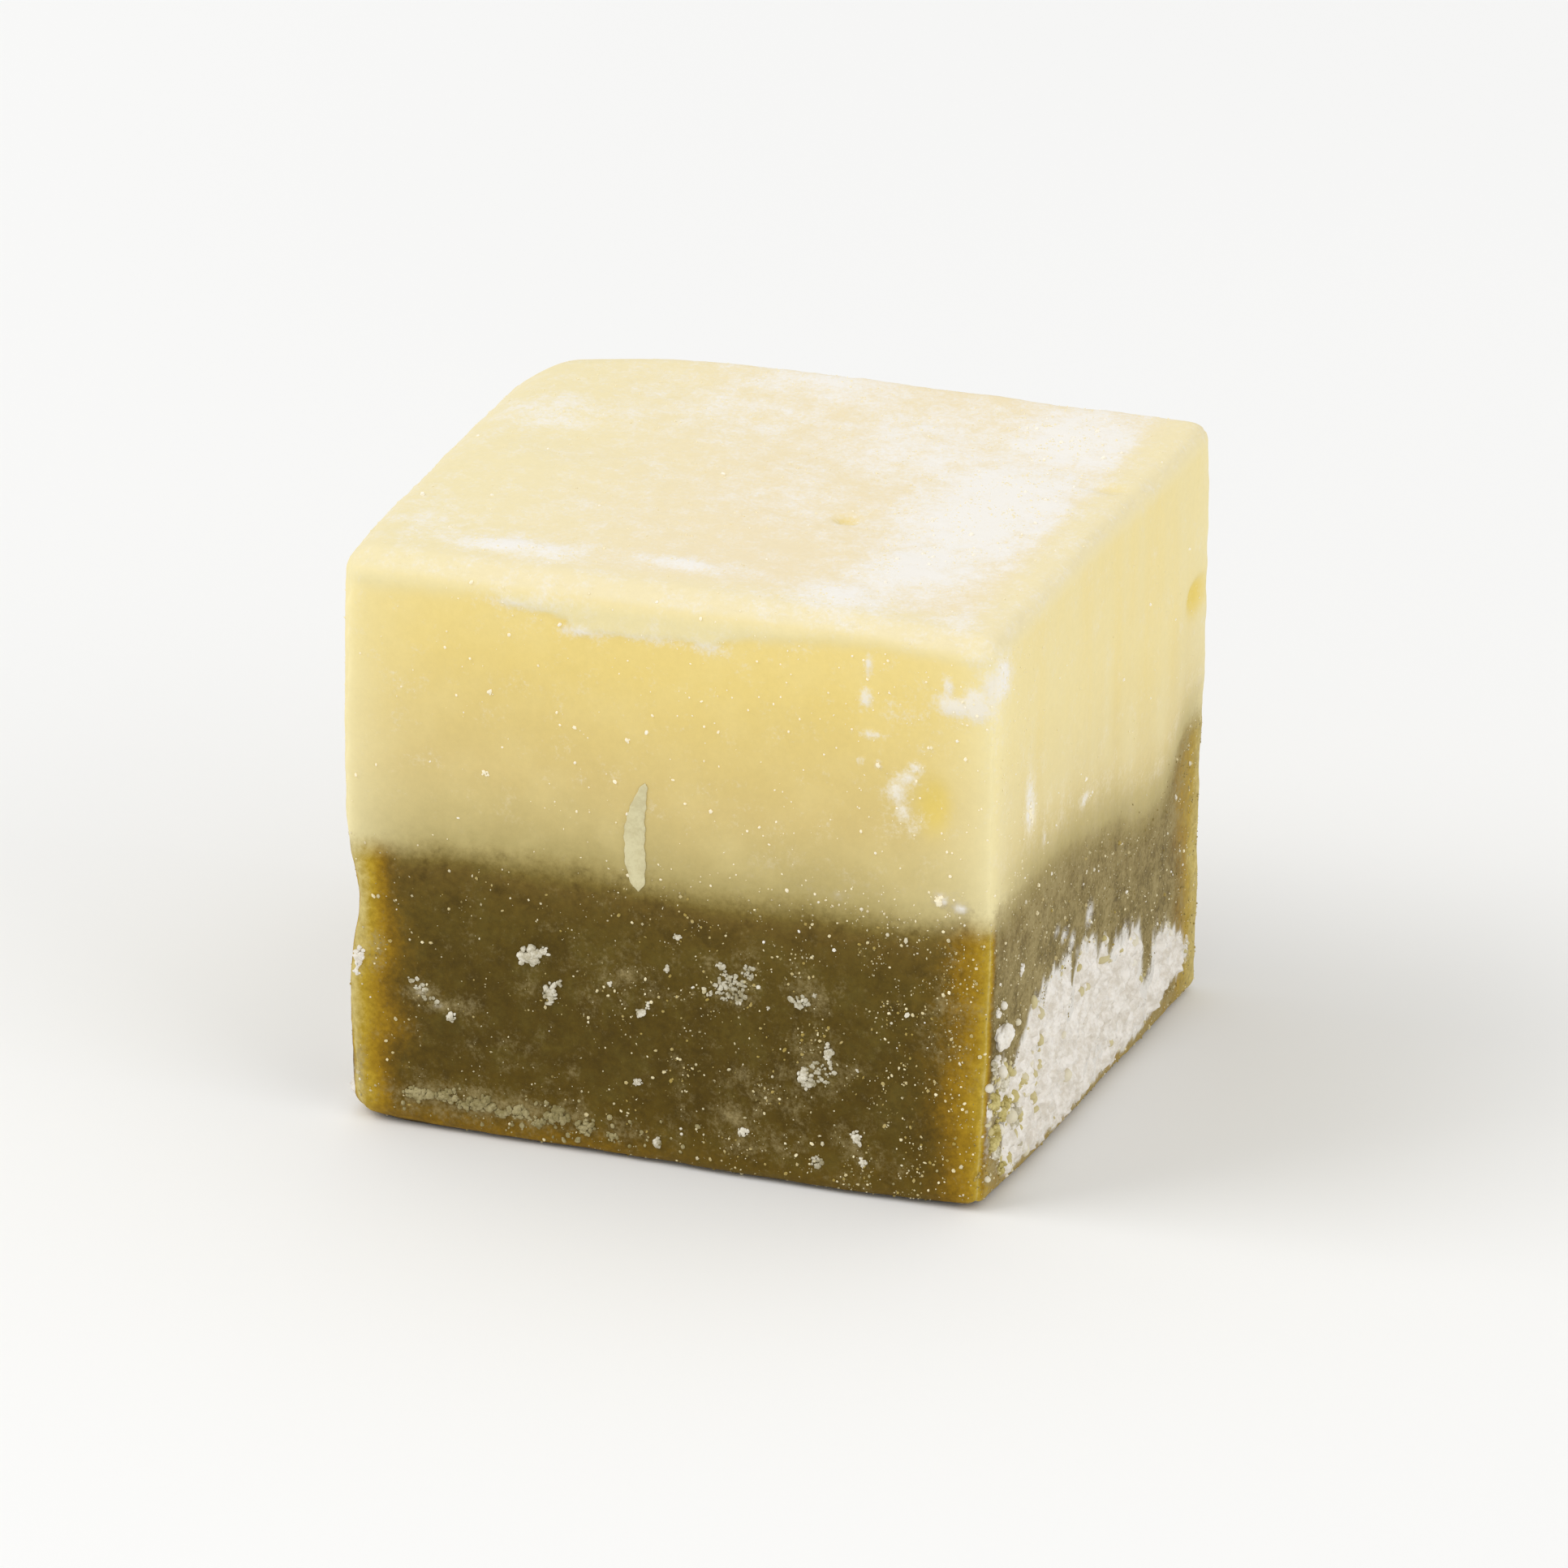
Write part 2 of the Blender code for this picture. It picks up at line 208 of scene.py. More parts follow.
def cornerShift(places):
    shares = places / np.array((block["width"], block["depth"], block["height"])) + np.array((0.5, 0.5, 0.0))
    shift = np.zeros_like(places)
    for ends, corner in block["cornerShifts"].items():
        share = np.where(np.array(ends) > 0, shares, 1.0 - shares).prod(axis=1)
        shift += share[:, None] * np.array(corner)
    return shift


def waveAt(places, seed):
    broad = perlin(places, block["broadWavelength"], (seed, 0.0, 0.0))
    fine = perlin(places, block["fineWavelength"], (0.0, seed, 0.0))
    return block["broadWave"] * broad + block["fineWave"] * fine


def cutWaves(places):
    x, y, z = places.T
    skin = block["faceSkin"]
    side = eased((np.abs(x) - halfWidth + skin) / skin)
    end = eased((np.abs(y) - halfDepth + skin) / skin)
    top = eased((z - block["height"] + skin) / skin)
    push = np.stack((
        np.copysign(side, x) * waveAt(places, 3.1),
        np.copysign(end, y) * waveAt(places, 7.7),
        top * waveAt(places, 12.3),
    ), axis=1)
    pinch = side * block["pinchDepth"] * hill(z, block["pinchHeight"], block["pinchSpread"])
    push[:, 0] += np.where(x < 0.0, pinch, 0.0)
    return push


# 1 on a face of the true box, and 0 where a place lies further under it than the skin
def nearFace(places, face, skin=0.55):
    direction, along, reach = faces[face]
    depth = reach - places @ np.array(direction, float)
    return eased(1.0 - depth / skin)


def inDent(places, face, middle, size):
    away = (places[:, faces[face][1]] - np.array(middle)) / np.array(size)
    return np.exp(-(away ** 2).sum(axis=1) ** 1.5)


# Distance along the surface to the nearest edge, and to the nearest upright edge
def edgeDistance(places):
    side = halfWidth - np.abs(places[:, 0])
    end = halfDepth - np.abs(places[:, 1])
    level = np.minimum(places[:, 2], block["height"] - places[:, 2])
    ordered = np.sort(np.stack((side, end, level), axis=1), axis=1)
    return ordered[:, 1], side + end


def ledgeAt(x):
    xs, zs = np.array(relief["ledge"]).T
    return np.interp(x, xs, zs) + 0.05 * np.sin(x * 5.1) * np.sin(x * 2.3 + 1.0)


# How clear the step under the top's skin is: it fades out to the left and to the right
def ledgeShare(x):
    return (0.3 + 0.7 * eased((x + 6.4) / 1.2)) * (1.0 - 0.55 * eased((x - 1.6) / 2.4))


# Small relief out of each face: the ledge, dents, powder film, knife drag, grain and nicked edges
def fineRelief(places):
    x, y, z = places.T
    push = np.zeros_like(places)
    nicks = np.minimum(crumbly(places, relief["edgeNickSize"], (5, 1, 2), 3), 0.35)
    edgeWear = relief["edgeNicks"] * np.exp(-edgeDistance(places)[0] / 0.35) * (nicks - 0.15)
    rough = crumbly(places, relief["grainSize"], (9, 4, 1), 3)
    dragSize = np.array(relief["dragSize"])
    drag = perlin(places, dragSize, (2, 8, 5)) + 0.5 * perlin(places, dragSize * 0.45, (0, 0, 0))
    for face in faces:
        rise = relief["grainDepth"] * rough + edgeWear
        if face == "front":
            clear = ledgeShare(x)
            overLedge = (z - ledgeAt(x)) / (relief["ledgeSoftness"] + 0.6 * (1.0 - clear))
            rise += relief["ledgeStep"] * (0.35 + 0.65 * clear) * eased(overLedge)
            rise += 0.35 * relief["dragDepth"] * drag
            rise += relief["filmDepth"] * eased(patchCover(places, face) * 1.6 - 0.6 + 0.24 * rough)
        elif face == "top":
            rise += relief["filmDepth"] * eased(patchCover(places, face) * 1.6 - 0.45 + 0.24 * rough)
        else:
            rise += relief["dragDepth"] * drag
        for dentFace, middle, size, depth, moist in relief["dents"]:
            if dentFace == face:
                rise -= depth * inDent(places, face, middle, size)
        push += (nearFace(places, face) * rise)[:, None] * np.array(faces[face][0], float)
    push[:, 2] *= eased(z / 0.5)
    return push


# Places in the true box, moved to where they are in the real block
def shapedPlaces(places, withRelief=True):
    corners = cornerShift(places)
    shaped = roundedPlaces(places) + corners + cutWaves(places)
    if withRelief:
        shaped = shaped + fineRelief(places)
    inSole = (places[:, 2] < 1e-6) & (np.abs(places[:, 0]) < halfWidth) & (np.abs(places[:, 1]) < halfDepth)
    shaped[inSole] = (places + corners)[inSole]
    return shaped + centring


# Where a side of the box is cut: close together at its rounded edges, then even
def stations(low, high, edgeAtLow=True, edgeAtHigh=True):
    fromLow = mesh["edgeSteps"] if edgeAtLow else (0.0,)
    fromHigh = mesh["edgeSteps"] if edgeAtHigh else (0.0,)
    first = low + fromLow[-1]
    last = high - fromHigh[-1]
    inner = np.linspace(first, last, max(1, round((last - first) / mesh["step"])) + 1)
    places = [low, high, *inner] + [low + step for step in fromLow] + [high - step for step in fromHigh]
    return np.array(sorted(set(np.round(places, 6))))


def facePlaces(face, us, vs):
    direction, along, reach = faces[face]
    places = np.zeros((len(us) * len(vs), 3))
    places[:, along] = np.stack(np.meshgrid(us, vs, indexing="ij"), axis=-1).reshape(-1, 2)
    return places + np.array(direction) * reach


# The rule's own middle differs a little from the solids', which were centred with their powder on
centring = np.zeros(3)
xs = stations(-halfWidth, halfWidth)
ys = stations(-halfDepth, halfDepth)
heights = np.arange(9.5, 19.3, 0.25)
lowest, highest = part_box("white_chocolate_layer")
centring = np.array((
    lowest.x / mm - shapedPlaces(facePlaces("left", ys[::2], heights), False)[:, 0].min(),
    highest.y / mm - shapedPlaces(facePlaces("back", xs[::2], heights), False)[:, 1].max(),
    0.0,
))
print("block rule set against the solids, shift in mm:", np.round(centring, 3))

# Where powder lies. Patches: place on the face, half sizes, strength
powder = {
    "top": (
        (7.2, 0.4, 2.4, 4.4, 1.0), (6.6, -4.6, 1.8, 2.4, 0.9), (5.2, -7.6, 1.5, 1.0, 0.75),
        (7.6, 6.2, 2.2, 2.6, 0.85), (3.6, 4.6, 3.0, 3.0, 0.55), (1.0, 0.2, 3.4, 2.6, 0.22),
        (-5.6, -7.35, 1.9, 0.55, 0.85), (-0.4, -7.0, 1.7, 0.42, 0.68), (9.2, -8.0, 0.9, 0.7, 0.5),
        (-0.8, 8.2, 2.4, 1.4, 0.62), (-2.0, 5.4, 3.0, 2.0, 0.35), (-7.8, 3.2, 1.3, 1.2, 0.4),
        (-8.9, -6.2, 0.9, 1.4, 0.3), (-2.6, -4.0, 2.0, 1.2, 0.16),
    ),
    "front": (
        (9.6, 16.95, 0.6, 0.36, 1.0), (10.35, 17.1, 0.5, 0.55, 1.0), (10.9, 17.6, 0.4, 0.75, 0.85),
        (9.4, 17.65, 0.15, 0.38, 0.9), (10.6, 18.9, 0.5, 0.4, 0.5), (6.72, 17.85, 0.11, 0.42, 0.75),
        (6.64, 16.85, 0.19, 0.3, 0.95), (6.9, 15.62, 0.36, 0.12, 0.8), (6.5, 14.72, 0.12, 0.12, 0.7),
        (7.1, 14.66, 0.12, 0.13, 0.8), (8.0, 16.4, 0.9, 1.4, 0.16), (8.35, 14.75, 0.26, 0.16, 0.75),
        (7.98, 14.35, 0.34, 0.3, 0.85), (7.8, 13.8, 0.34, 0.42, 0.85), (7.95, 13.15, 0.26, 0.36, 0.65),
        (8.3, 12.7, 0.24, 0.3, 0.5), (7.6, 12.6, 0.6, 0.7, 0.22), (-2.75, 17.72, 0.66, 0.19, 0.7),
        (1.5, 17.76, 0.55, 0.19, 0.66), (-0.6, 17.8, 1.7, 0.14, 0.34), (-5.1, 18.36, 0.75, 0.22, 0.55),
        (-4.4, 18.6, 1.2, 0.3, 0.3), (9.3, 10.45, 0.3, 0.26, 0.9), (9.95, 10.25, 0.42, 0.28, 0.75),
        (5.0, 10.6, 2.6, 1.0, 0.16), (5.8, 10.1, 0.24, 0.2, 0.6), (3.9, 10.9, 0.9, 0.6, 0.22),
        (-0.5, 10.0, 0.8, 0.4, 0.2), (-8.3, 4.75, 0.5, 0.28, 0.62), (-7.75, 4.35, 0.42, 0.26, 0.62),
        (-7.0, 4.5, 0.5, 0.4, 0.36), (-10.6, 1.9, 0.35, 0.7, 0.55), (-1.7, 6.3, 0.8, 0.4, 0.42),
        (2.3, 2.1, 0.9, 0.5, 0.46), (-4.2, 5.9, 1.0, 0.9, 0.22), (2.3, 6.5, 0.9, 0.9, 0.34),
        (5.1, 4.1, 1.1, 1.1, 0.36), (3.2, 3.0, 1.7, 0.9, 0.3), (3.0, 1.6, 2.2, 0.9, 0.28),
        (6.6, 1.6, 1.0, 0.9, 0.32), (-6.0, 1.2, 3.4, 0.6, 0.48), (-1.6, 0.9, 1.2, 0.5, 0.36),
        (-1.6, 6.2, 1.6, 1.2, 0.22), (4.8, 6.6, 1.0, 0.7, 0.34), (9.6, 6.4, 0.7, 1.6, 0.3),
        (-10.1, 5.9, 0.5, 0.6, 0.5), (0.2, 4.9, 0.6, 0.4, 0.2), (-4.8, 3.2, 2.4, 0.8, 0.14),
    ),
    "right": (
        (-9.0, 17.9, 0.75, 0.8, 0.85), (-9.0, 19.0, 0.5, 0.4, 0.5), (-8.7, 5.2, 0.9, 1.4, 0.34),
        (-7.6, 2.8, 1.3, 1.4, 0.6), (-6.2, 12.6, 0.4, 0.95, 0.85), (-5.0, 11.0, 0.24, 0.6, 0.55),
        (-1.4, 10.8, 0.7, 0.28, 0.62), (-3.6, 7.2, 0.36, 0.26, 0.62), (-2.9, 6.8, 0.4, 0.3, 0.66),
        (-2.2, 6.3, 0.4, 0.4, 0.66), (-0.7, 6.6, 0.4, 0.6, 0.66), (-6.4, 8.4, 1.8, 1.2, 0.16),
        (-8.2, 8.0, 1.0, 1.4, 0.2),
    ),
    # height of the caked bank at even steps from the left end to the right end, seen from outside
    "rightBank": (4.3, 4.5, 5.3, 5.6, 5.5, 4.6, 4.4, 3.6, 2.6, 0.4),
    "backBank": (1.2, 2.6, 3.4, 2.2, 1.0, 0.6, 1.4, 0.8),
    "leftBank": (0.8, 1.0, 2.2, 3.0, 1.8, 0.9, 1.2),
    # gaps in the right bank: y, z, half sizes, depth of the powder haze in them
    "gaps": (
        (-2.1, 4.5, 0.3, 1.3, 0.85), (4.5, 3.1, 0.6, 2.2, 1.0), (-8.4, 2.8, 0.95, 1.25, 1.5),
        (1.4, 5.2, 0.25, 0.8, 0.7), (-6.9, 5.6, 0.6, 0.6, 0.7), (-7.4, 4.7, 0.3, 0.5, 0.9),
        (-5.1, 4.4, 0.16, 0.7, 0.7), (-8.9, 0.6, 1.0, 0.9, 1.6),
    ),
    # how far the colours of the right face lie above the seam of the solids: y, height
    "rightSmear": (
        (-9.45, 0.1), (-9.0, 0.3), (-5.0, 0.4), (-2.0, 0.2), (0.0, -0.1), (2.0, -0.6), (4.0, -1.3),
        (5.6, -1.3), (6.6, -0.6), (7.4, 0.2), (8.5, 0.5), (9.45, 0.3),
    ),
    "streakSize": (0.8, 0.8, 7.0),
}


# Strongest of the soft patches of powder at each place of a face
def patchCover(places, face):
    u, v = places[:, faces[face][1]].T
    found = np.zeros(len(u))
    for middleU, middleV, sizeU, sizeV, strength in powder[face]:
        away = ((u - middleU) / sizeU) ** 2 + ((v - middleV) / sizeV) ** 2
        found = np.maximum(found, strength * np.exp(-away * 0.7))
    return found


def patchCovers(places):
    return {face: patchCover(places, face) for face in ("top", "front", "right")}


def bankTop(heights, share):
    place = np.clip(share, 0.0, 1.0) * (len(heights) - 1)
    before = np.minimum(place.astype(int), len(heights) - 2)
    part = eased(place - before)
    heights = np.array(heights)
    return heights[before] * (1.0 - part) + heights[before + 1] * part


# How full of caked powder a side face is: below 0 bare, up to about 1 thick
def bankCover(places, face, leastGap=0.0):
    x, y, z = places.T
    share = {
        "right": (y + halfDepth) / block["depth"],
        "back": (halfWidth - x) / block["width"],
        "left": (halfDepth - y) / block["depth"],
    }[face]
    drift = 0.9 * perlin(places, (1.3, 1.3, 2.4), (7, 2, 4))
    under = (bankTop(powder[face + "Bank"], share + 0.03 * drift) - z) / 1.3
    toBack = eased((y - 3.0) / 5.5)
    foot = eased((z - 0.1 - 0.35 * np.abs(drift) - 0.9 * toBack) / 0.7)
    streaks = crumbly(places, (0.5, 0.5, 2.2), (1, 6, 2), 5) + 0.4 * crumbly(places, 0.4, (6, 6, 2), 3)
    full = np.clip(under, -1.4, 0.58) * foot - (1.0 - foot) * 0.7 + 0.5 * streaks
    if face == "right":
        for middleY, middleZ, sizeY, sizeZ, depth in powder["gaps"]:
            away = ((y - middleY) / sizeY) ** 2 + ((z - middleZ) / sizeZ) ** 2
            full = full - max(depth, leastGap) * np.exp(-away)
    return full


# How much each place belongs to each face, with the top first
def onFaces(places, skin):
    shares = {"top": nearFace(places, "top", skin)}
    left = 1.0 - shares["top"]
    for face in ("front", "right", "back", "left"):
        shares[face] = nearFace(places, face, skin) * left
        left = left - shares[face]
    return shares


# Height above the line where the colours change. The knife dragged it up and down on the right face
def paintedHeight(places):
    x, y, z = places.T
    shares = onFaces(places, 0.6)
    alongY, rises = np.array(powder["rightSmear"]).T
    height = z - seamAt(x, y)
    height = height - shares["right"] * np.interp(y, alongY, rises)
    height = height - (shares["back"] + shares["left"]) * 0.9 * perlin(places, 4.5, (3, 3, 3))
    height = height * (1.0 + 0.45 * shares["right"] * (height > 0.0))
    softer = 0.8 + 0.2 * eased(np.abs(height) / 4.0)
    return height * (1.0 + (softer - 1.0) * (1.0 - shares["front"]))


# Where light comes through the dark layer: by its upright edges and its bottom edge
def edgeGlow(places):
    x, y, z = places.T
    shares = onFaces(places, 0.5)
    away = edgeDistance(places)[1] * (1.0 + 0.35 * perlin(places, 1.7, (5, 5, 1)))
    toLeft = np.exp(-(away / 1.6) ** 1.6)
    toRight = 0.62 * np.exp(-(away / 1.75) ** 1.8) + 0.3 * np.exp(-away / 0.25)
    sideGlow = np.where(y > 0.0, hill(away, 0.0, 2.5), 0.4 * np.exp(-away / 0.3))
    low = hill(z, 0.0, 1.1)
    foot = np.exp(-((y + 9.3) / 1.5) ** 2 - (z / 2.6) ** 2)
    leftward = 1.0 - eased((x + 4.0) / 7.0)
    glow = shares["front"] * np.where(x < 0.0, toLeft, toRight)
    glow += (shares["right"] + shares["left"] + shares["back"]) * np.maximum(sideGlow, 0.72 * low)
    glow = np.maximum(glow, shares["right"] * 0.8 * foot)
    return np.maximum(glow, shares["front"] * low * (0.12 + 0.3 * leftward))


# The thin haze of powder that only tints the surface
def dustVeil(places):
    x, y, z = places.T
    streak = perlin(places, powder["streakSize"], (4, 4, 4))
    cloud = perlin(places, 3.2, (1, 3, 5))
    shares = onFaces(places, 0.6)
    height = paintedHeight(places)
    above = eased((z - ledgeAt(x)) / 0.25) * ledgeShare(x)
    rightEdge = np.exp(-(halfWidth - x) / 0.5)
    cleanStrip = eased((x - 9.2) / 0.6) * eased((y + 9.0) / 1.5)
    cover = patchCovers(places)
    veil = shares["top"] * (0.14 + 0.95 * cover["top"] * (1.0 - 0.85 * cleanStrip) + 0.08 * cloud)
    veil += shares["front"] * (-0.06 + 0.08 * rightEdge + 1.06 * cover["front"] + 0.14 * above)
    lowSide = 1.0 - eased((height + 0.3) / 1.4)
    sideVeil = -0.06 + 0.12 * streak + 0.05 * cloud + 0.3 * hill(height, 1.6, 1.4)
    darkVeil = 0.61 + 0.12 * streak + 0.1 * cloud - 0.34 * eased((y - 6.4) / 2.4)
    nearBank = eased(0.92 + (bankCover(places, "right") + 0.1 * streak) / 0.6)
    rightVeil = np.maximum(sideVeil + (darkVeil - sideVeil) * lowSide, cover["right"])
    veil += shares["right"] * np.maximum(rightVeil, 0.98 * nearBank)
    banked = [eased(1.0 + bankCover(places, face) / 0.5) * shares[face] for face in ("back", "left")]
    hiddenVeil = np.maximum(sideVeil + 0.3 * lowSide, np.maximum(*banked))
    veil += (shares["back"] + shares["left"]) * hiddenVeil
    return np.clip(veil, -0.5, 1.0)


# How white the powder looks: thin dust low on the sides takes the tone of the chocolate
def whiteness(places):
    shares = onFaces(places, 0.6)
    high = eased((paintedHeight(places) - 1.0) / 3.5)
    cover = patchCovers(places)
    thick = eased((cover["front"] - 0.5) / 0.3) * (1.0 - 0.4 * high)
    white = shares["top"] + shares["front"] * np.maximum(thick, 0.6 * high)
    white += shares["right"] * np.maximum(eased((cover["right"] - 0.3) / 0.35), 0.5 * high)
    for face in ("right", "back", "left"):
        white += shares[face] * eased(1.0 + bankCover(places, face) / 0.45)
    return np.clip(white, 0.0, 1.0)


# Shares of the greatest density of loose grains, for each kind
def grainDensities(places):
    x, y, z = places.T
    shares = onFaces(places, 0.5)
    onTop, front, right = (shares[face] for face in ("top", "front", "right"))
    others = shares["back"] + shares["left"]
    height = paintedHeight(places)
    dark = 1.0 - eased((height + 0.4) / 0.8)
    clump = eased(0.5 + 1.1 * crumbly(places, 1.4, (2, 9, 3), 3))
    fine = eased(0.4 + 1.5 * crumbly(places, 0.5, (6, 1, 8), 3))
    rightward = eased((x + 5.0) / 14.0)
    rightBank = bankCover(places, "right", 1.0)
    bare = 1.0 - eased((rightBank + 0.02) / 0.12)
    bankEdge = hill(rightBank, 0.02, 0.24)
    frontThird = 1.0 - eased((y + 7.4) / 3.4)
    topCover, frontCover, rightCover = patchCovers(places).values()
    frontDust = 0.03 + 0.34 * rightward * (dark + hill(height, -0.6, 1.4)) + 0.1 * dark + 0.7 * frontCover
    dust = onTop * (0.05 + 0.45 * topCover) + front * frontDust * (0.15 + clump)
    dust += right * (0.02 + 0.4 * dark + 0.5 * rightCover + 0.5 * bankEdge) * bare + others * 0.12
    dust += right * (1.0 - dark) * 0.16 * frontThird
    grains = onTop * (0.01 + 0.4 * np.maximum(topCover - 0.4, 0.0))
    grains += front * (0.008 + 0.045 * dark * (0.3 + rightward) + 0.45 * np.maximum(frontCover - 0.2, 0.0))
    grains += right * (0.01 + 0.35 * rightCover + 0.06 * dark + 0.55 * bankEdge) * bare + others * 0.05
    crystals = front * dark * (0.1 + 0.9 * rightward * clump + 0.5 * frontCover)
    crystals += front * (1.0 - dark) * (0.05 + 0.1 * rightward) + right * 0.1 * bare * dark
    leftward = 1.0 - eased((x + 0.6) / 1.4)
    crumbs = hill(z, 0.85, 0.5) * (front + 0.4 * others) * (0.1 + 0.9 * leftward * eased((x + 9.5) / 2.0))
    bankCrumbs = right * (bankEdge * (0.3 + 0.7 * frontThird) + 0.03 * eased(rightBank / 0.3))
    bankCrumbs += right * 0.8 * frontThird * hill(z, 2.9, 1.9)
    bankCrumbs *= eased((z - 0.25) / 0.3)
    densities = {
        "bankCrumbs": bankCrumbs * (0.3 + fine),
        "fineDust": dust * fine,
        "powderGrains": grains * fine,
        "sugarGrains": crystals * clump,
        "edgeCrumbs": crumbs * clump,
    }
    return {kind: np.clip(density, 0.0, 1.0) for kind, density in densities.items()}


# Quads between two closed rings of points
def ringBand(first, second, count):
    around = [(i, (i + 1) % count) for i in range(count)]
    return [(first + i, first + after, second + after, second + i) for i, after in around]


# The outer skin of one layer: rows round its sides, then its seam and its far face
def layerPlaces(bottom, top, upper):
    zs = stations(bottom, top, not upper, upper)
    around = [(x, -halfDepth) for x in xs] + [(halfWidth, y) for y in ys[1:]]
    around += [(x, halfDepth) for x in xs[::-1][1:]] + [(-halfWidth, y) for y in ys[::-1][1:-1]]
    around = np.array(around)
    count = len(around)
    seamLevel = bottom if upper else top
    offLevel = seamAt(*around.T) - seamLevel
    shares = [1.0 - abs(z - seamLevel) / (top - bottom) for z in zs]
    rows = [np.column_stack((around, z + offLevel * share)) for z, share in zip(zs, shares)]
    places = np.concatenate(rows)
    quads = []
    for row in range(len(zs) - 1):
        quads += ringBand(row * count, (row + 1) * count, count)
    if not upper:
        sole = len(places)
        half = np.array((halfWidth, halfDepth)) - mesh["soleInset"]
        flat = rounded(around * half / np.array((halfWidth, halfDepth)), half, mesh["soleRounding"])
        places = np.concatenate((places, np.column_stack((flat, np.zeros(count)))))
        quads.append(tuple(range(sole - count, sole)))             # seam
        quads += ringBand(sole, 0, count)
        quads.append(tuple(range(sole, sole + count))[::-1])       # flat bottom
        return places, quads
    quads.append(tuple(range(count))[::-1])                        # seam
    numbers = {tuple(place): len(places) - count + i for i, place in enumerate(around.tolist())}
    inner = np.array([(x, y, top) for x in xs[1:-1] for y in ys[1:-1]])
    numbers.update({tuple(place): len(places) + i for i, place in enumerate(inner[:, :2].tolist())})
    places = np.concatenate((places, inner))
    grid = [[numbers[x, y] for y in ys.tolist()] for x in xs.tolist()]
    for row, after in zip(grid, grid[1:]):
        quads += [(row[j], after[j], after[j + 1], row[j + 1]) for j in range(len(row) - 1)]
    return places, quads


def newMesh(name, points, polygons, smooth=True):
    data = bpy.data.meshes.new(name)
    data.from_pydata((points * mm).tolist(), [], polygons)
    if smooth:
        data.shade_smooth()
    return data


def addPoints(data, name, values):
    data.attributes.new(name, "FLOAT", "POINT").data.foreach_set("value", values.astype(np.float32))


def addObject(name, data, material=None):
    made = bpy.data.objects.new(name, data)
    bpy.context.scene.collection.objects.link(made)
    if material and not data.materials:
        data.materials.append(material)
    return made


skinParts = []    # points, four-sided faces and grain densities of each layer, for the loose grains


def buildLayer(name, bottom, top, upper, material):
    places, quads = layerPlaces(bottom, top, upper)
    shaped = shapedPlaces(places)
    x, y, z = places.T
    painted = paintedHeight(places)
    shares = onFaces(places, 0.9)
    unclear = 1.0 - ledgeShare(x)
    topBand = eased((z - ledgeAt(x)) / (0.16 + 1.1 * unclear) + 0.45 * unclear)
    wet = np.zeros(len(places))
    for face, middle, size, depth, moist in relief["dents"]:
        dent = inDent(places, face, middle, np.array(size) * 1.1)
        wet = np.maximum(wet, moist * nearFace(places, face) * dent)
    streak = 0.25 * perlin(places, powder["streakSize"], (4, 4, 4))
    sides = (shares["right"] + shares["back"] + shares["left"]) * (0.62 + streak)
    sides = sides * eased((painted - 0.6) / 3.4)
    yellower = eased(0.5 - (x + 4.0) / 12.0)
    yellower = np.maximum(yellower, 0.7 * eased((-7.0 - y) / 1.8))
    yellower = np.maximum(yellower, 0.8 * eased((x - 8.8) / 1.4))
    data = newMesh(name, shaped, quads)
    looks = {
        "overSeam": painted,
        "uprightEdge": edgeDistance(places)[1],
        "glow": edgeGlow(places),
        "dust": dustVeil(places),
        "whiteness": whiteness(places),
        "skin": np.maximum(shares["front"] * topBand, shares["top"]) + sides,
        "onTop": shares["top"],
        "yellower": yellower,
        "wet": wet,
    }
    for look, values in looks.items():
        addPoints(data, look, values)
    skinParts.append((shaped, [quad for quad in quads if len(quad) == 4], grainDensities(places)))
    data.set_sharp_from_angle(angle=math.radians(60.0))
    print(name, len(data.polygons), "faces")
    return addObject(name, data, material)


# A node with its settings, and its inputs by name or number: a socket is linked, a value is set
def addNode(tree, kind, inputs=None, **settings):
    node = tree.nodes.new(kind)
    for name, value in settings.items():
        setattr(node, name, value)
    for name, value in (inputs or {}).items():
        if isinstance(value, bpy.types.NodeSocket):
            tree.links.new(value, node.inputs[name])
        else:
            node.inputs[name].default_value = value
    return node


# A node group with its sockets, and the outputs of its input node
def newGroup(name, kind, inputs, outputs):
    tree = bpy.data.node_groups.new(name, kind)
    for direction, sockets in (("INPUT", inputs), ("OUTPUT", outputs)):
        for socket, value in sockets.items():
            tree.interface.new_socket(socket, in_out=direction, socket_type="NodeSocket" + value)
    return tree, tree.nodes.new("NodeGroupInput").outputs


# Linear colour from a six-digit display colour
def srgb(code):
    channels = [int(code[i:i + 2], 16) / 255.0 for i in (0, 2, 4)]
    return (*[c / 12.92 if c <= 0.04045 else ((c + 0.055) / 1.055) ** 2.4 for c in channels], 1.0)


def mixColours(tree, factor, first, second, blend="MIX"):
    inputs = {0: factor, 6: first, 7: second}
    return addNode(tree, "ShaderNodeMix", inputs, data_type="RGBA", blend_type=blend).outputs[2]


# A colour times a grey value
def shaded(tree, colour, light):
    grey = addNode(tree, "ShaderNodeCombineColor", {"Red": light, "Green": light, "Blue": light})
    return mixColours(tree, 1.0, colour, grey.outputs["Color"], "MULTIPLY")


def mathNode(tree, operation, *values):
    return addNode(tree, "ShaderNodeMath", dict(enumerate(values)), operation=operation).outputs[0]


def between(tree, value, low, high, outLow=0.0, outHigh=1.0, kind="SMOOTHSTEP"):
    inputs = {"Value": value, "From Min": low, "From Max": high, "To Min": outLow, "To Max": outHigh}
    return addNode(tree, "ShaderNodeMapRange", inputs, interpolation_type=kind).outputs["Result"]


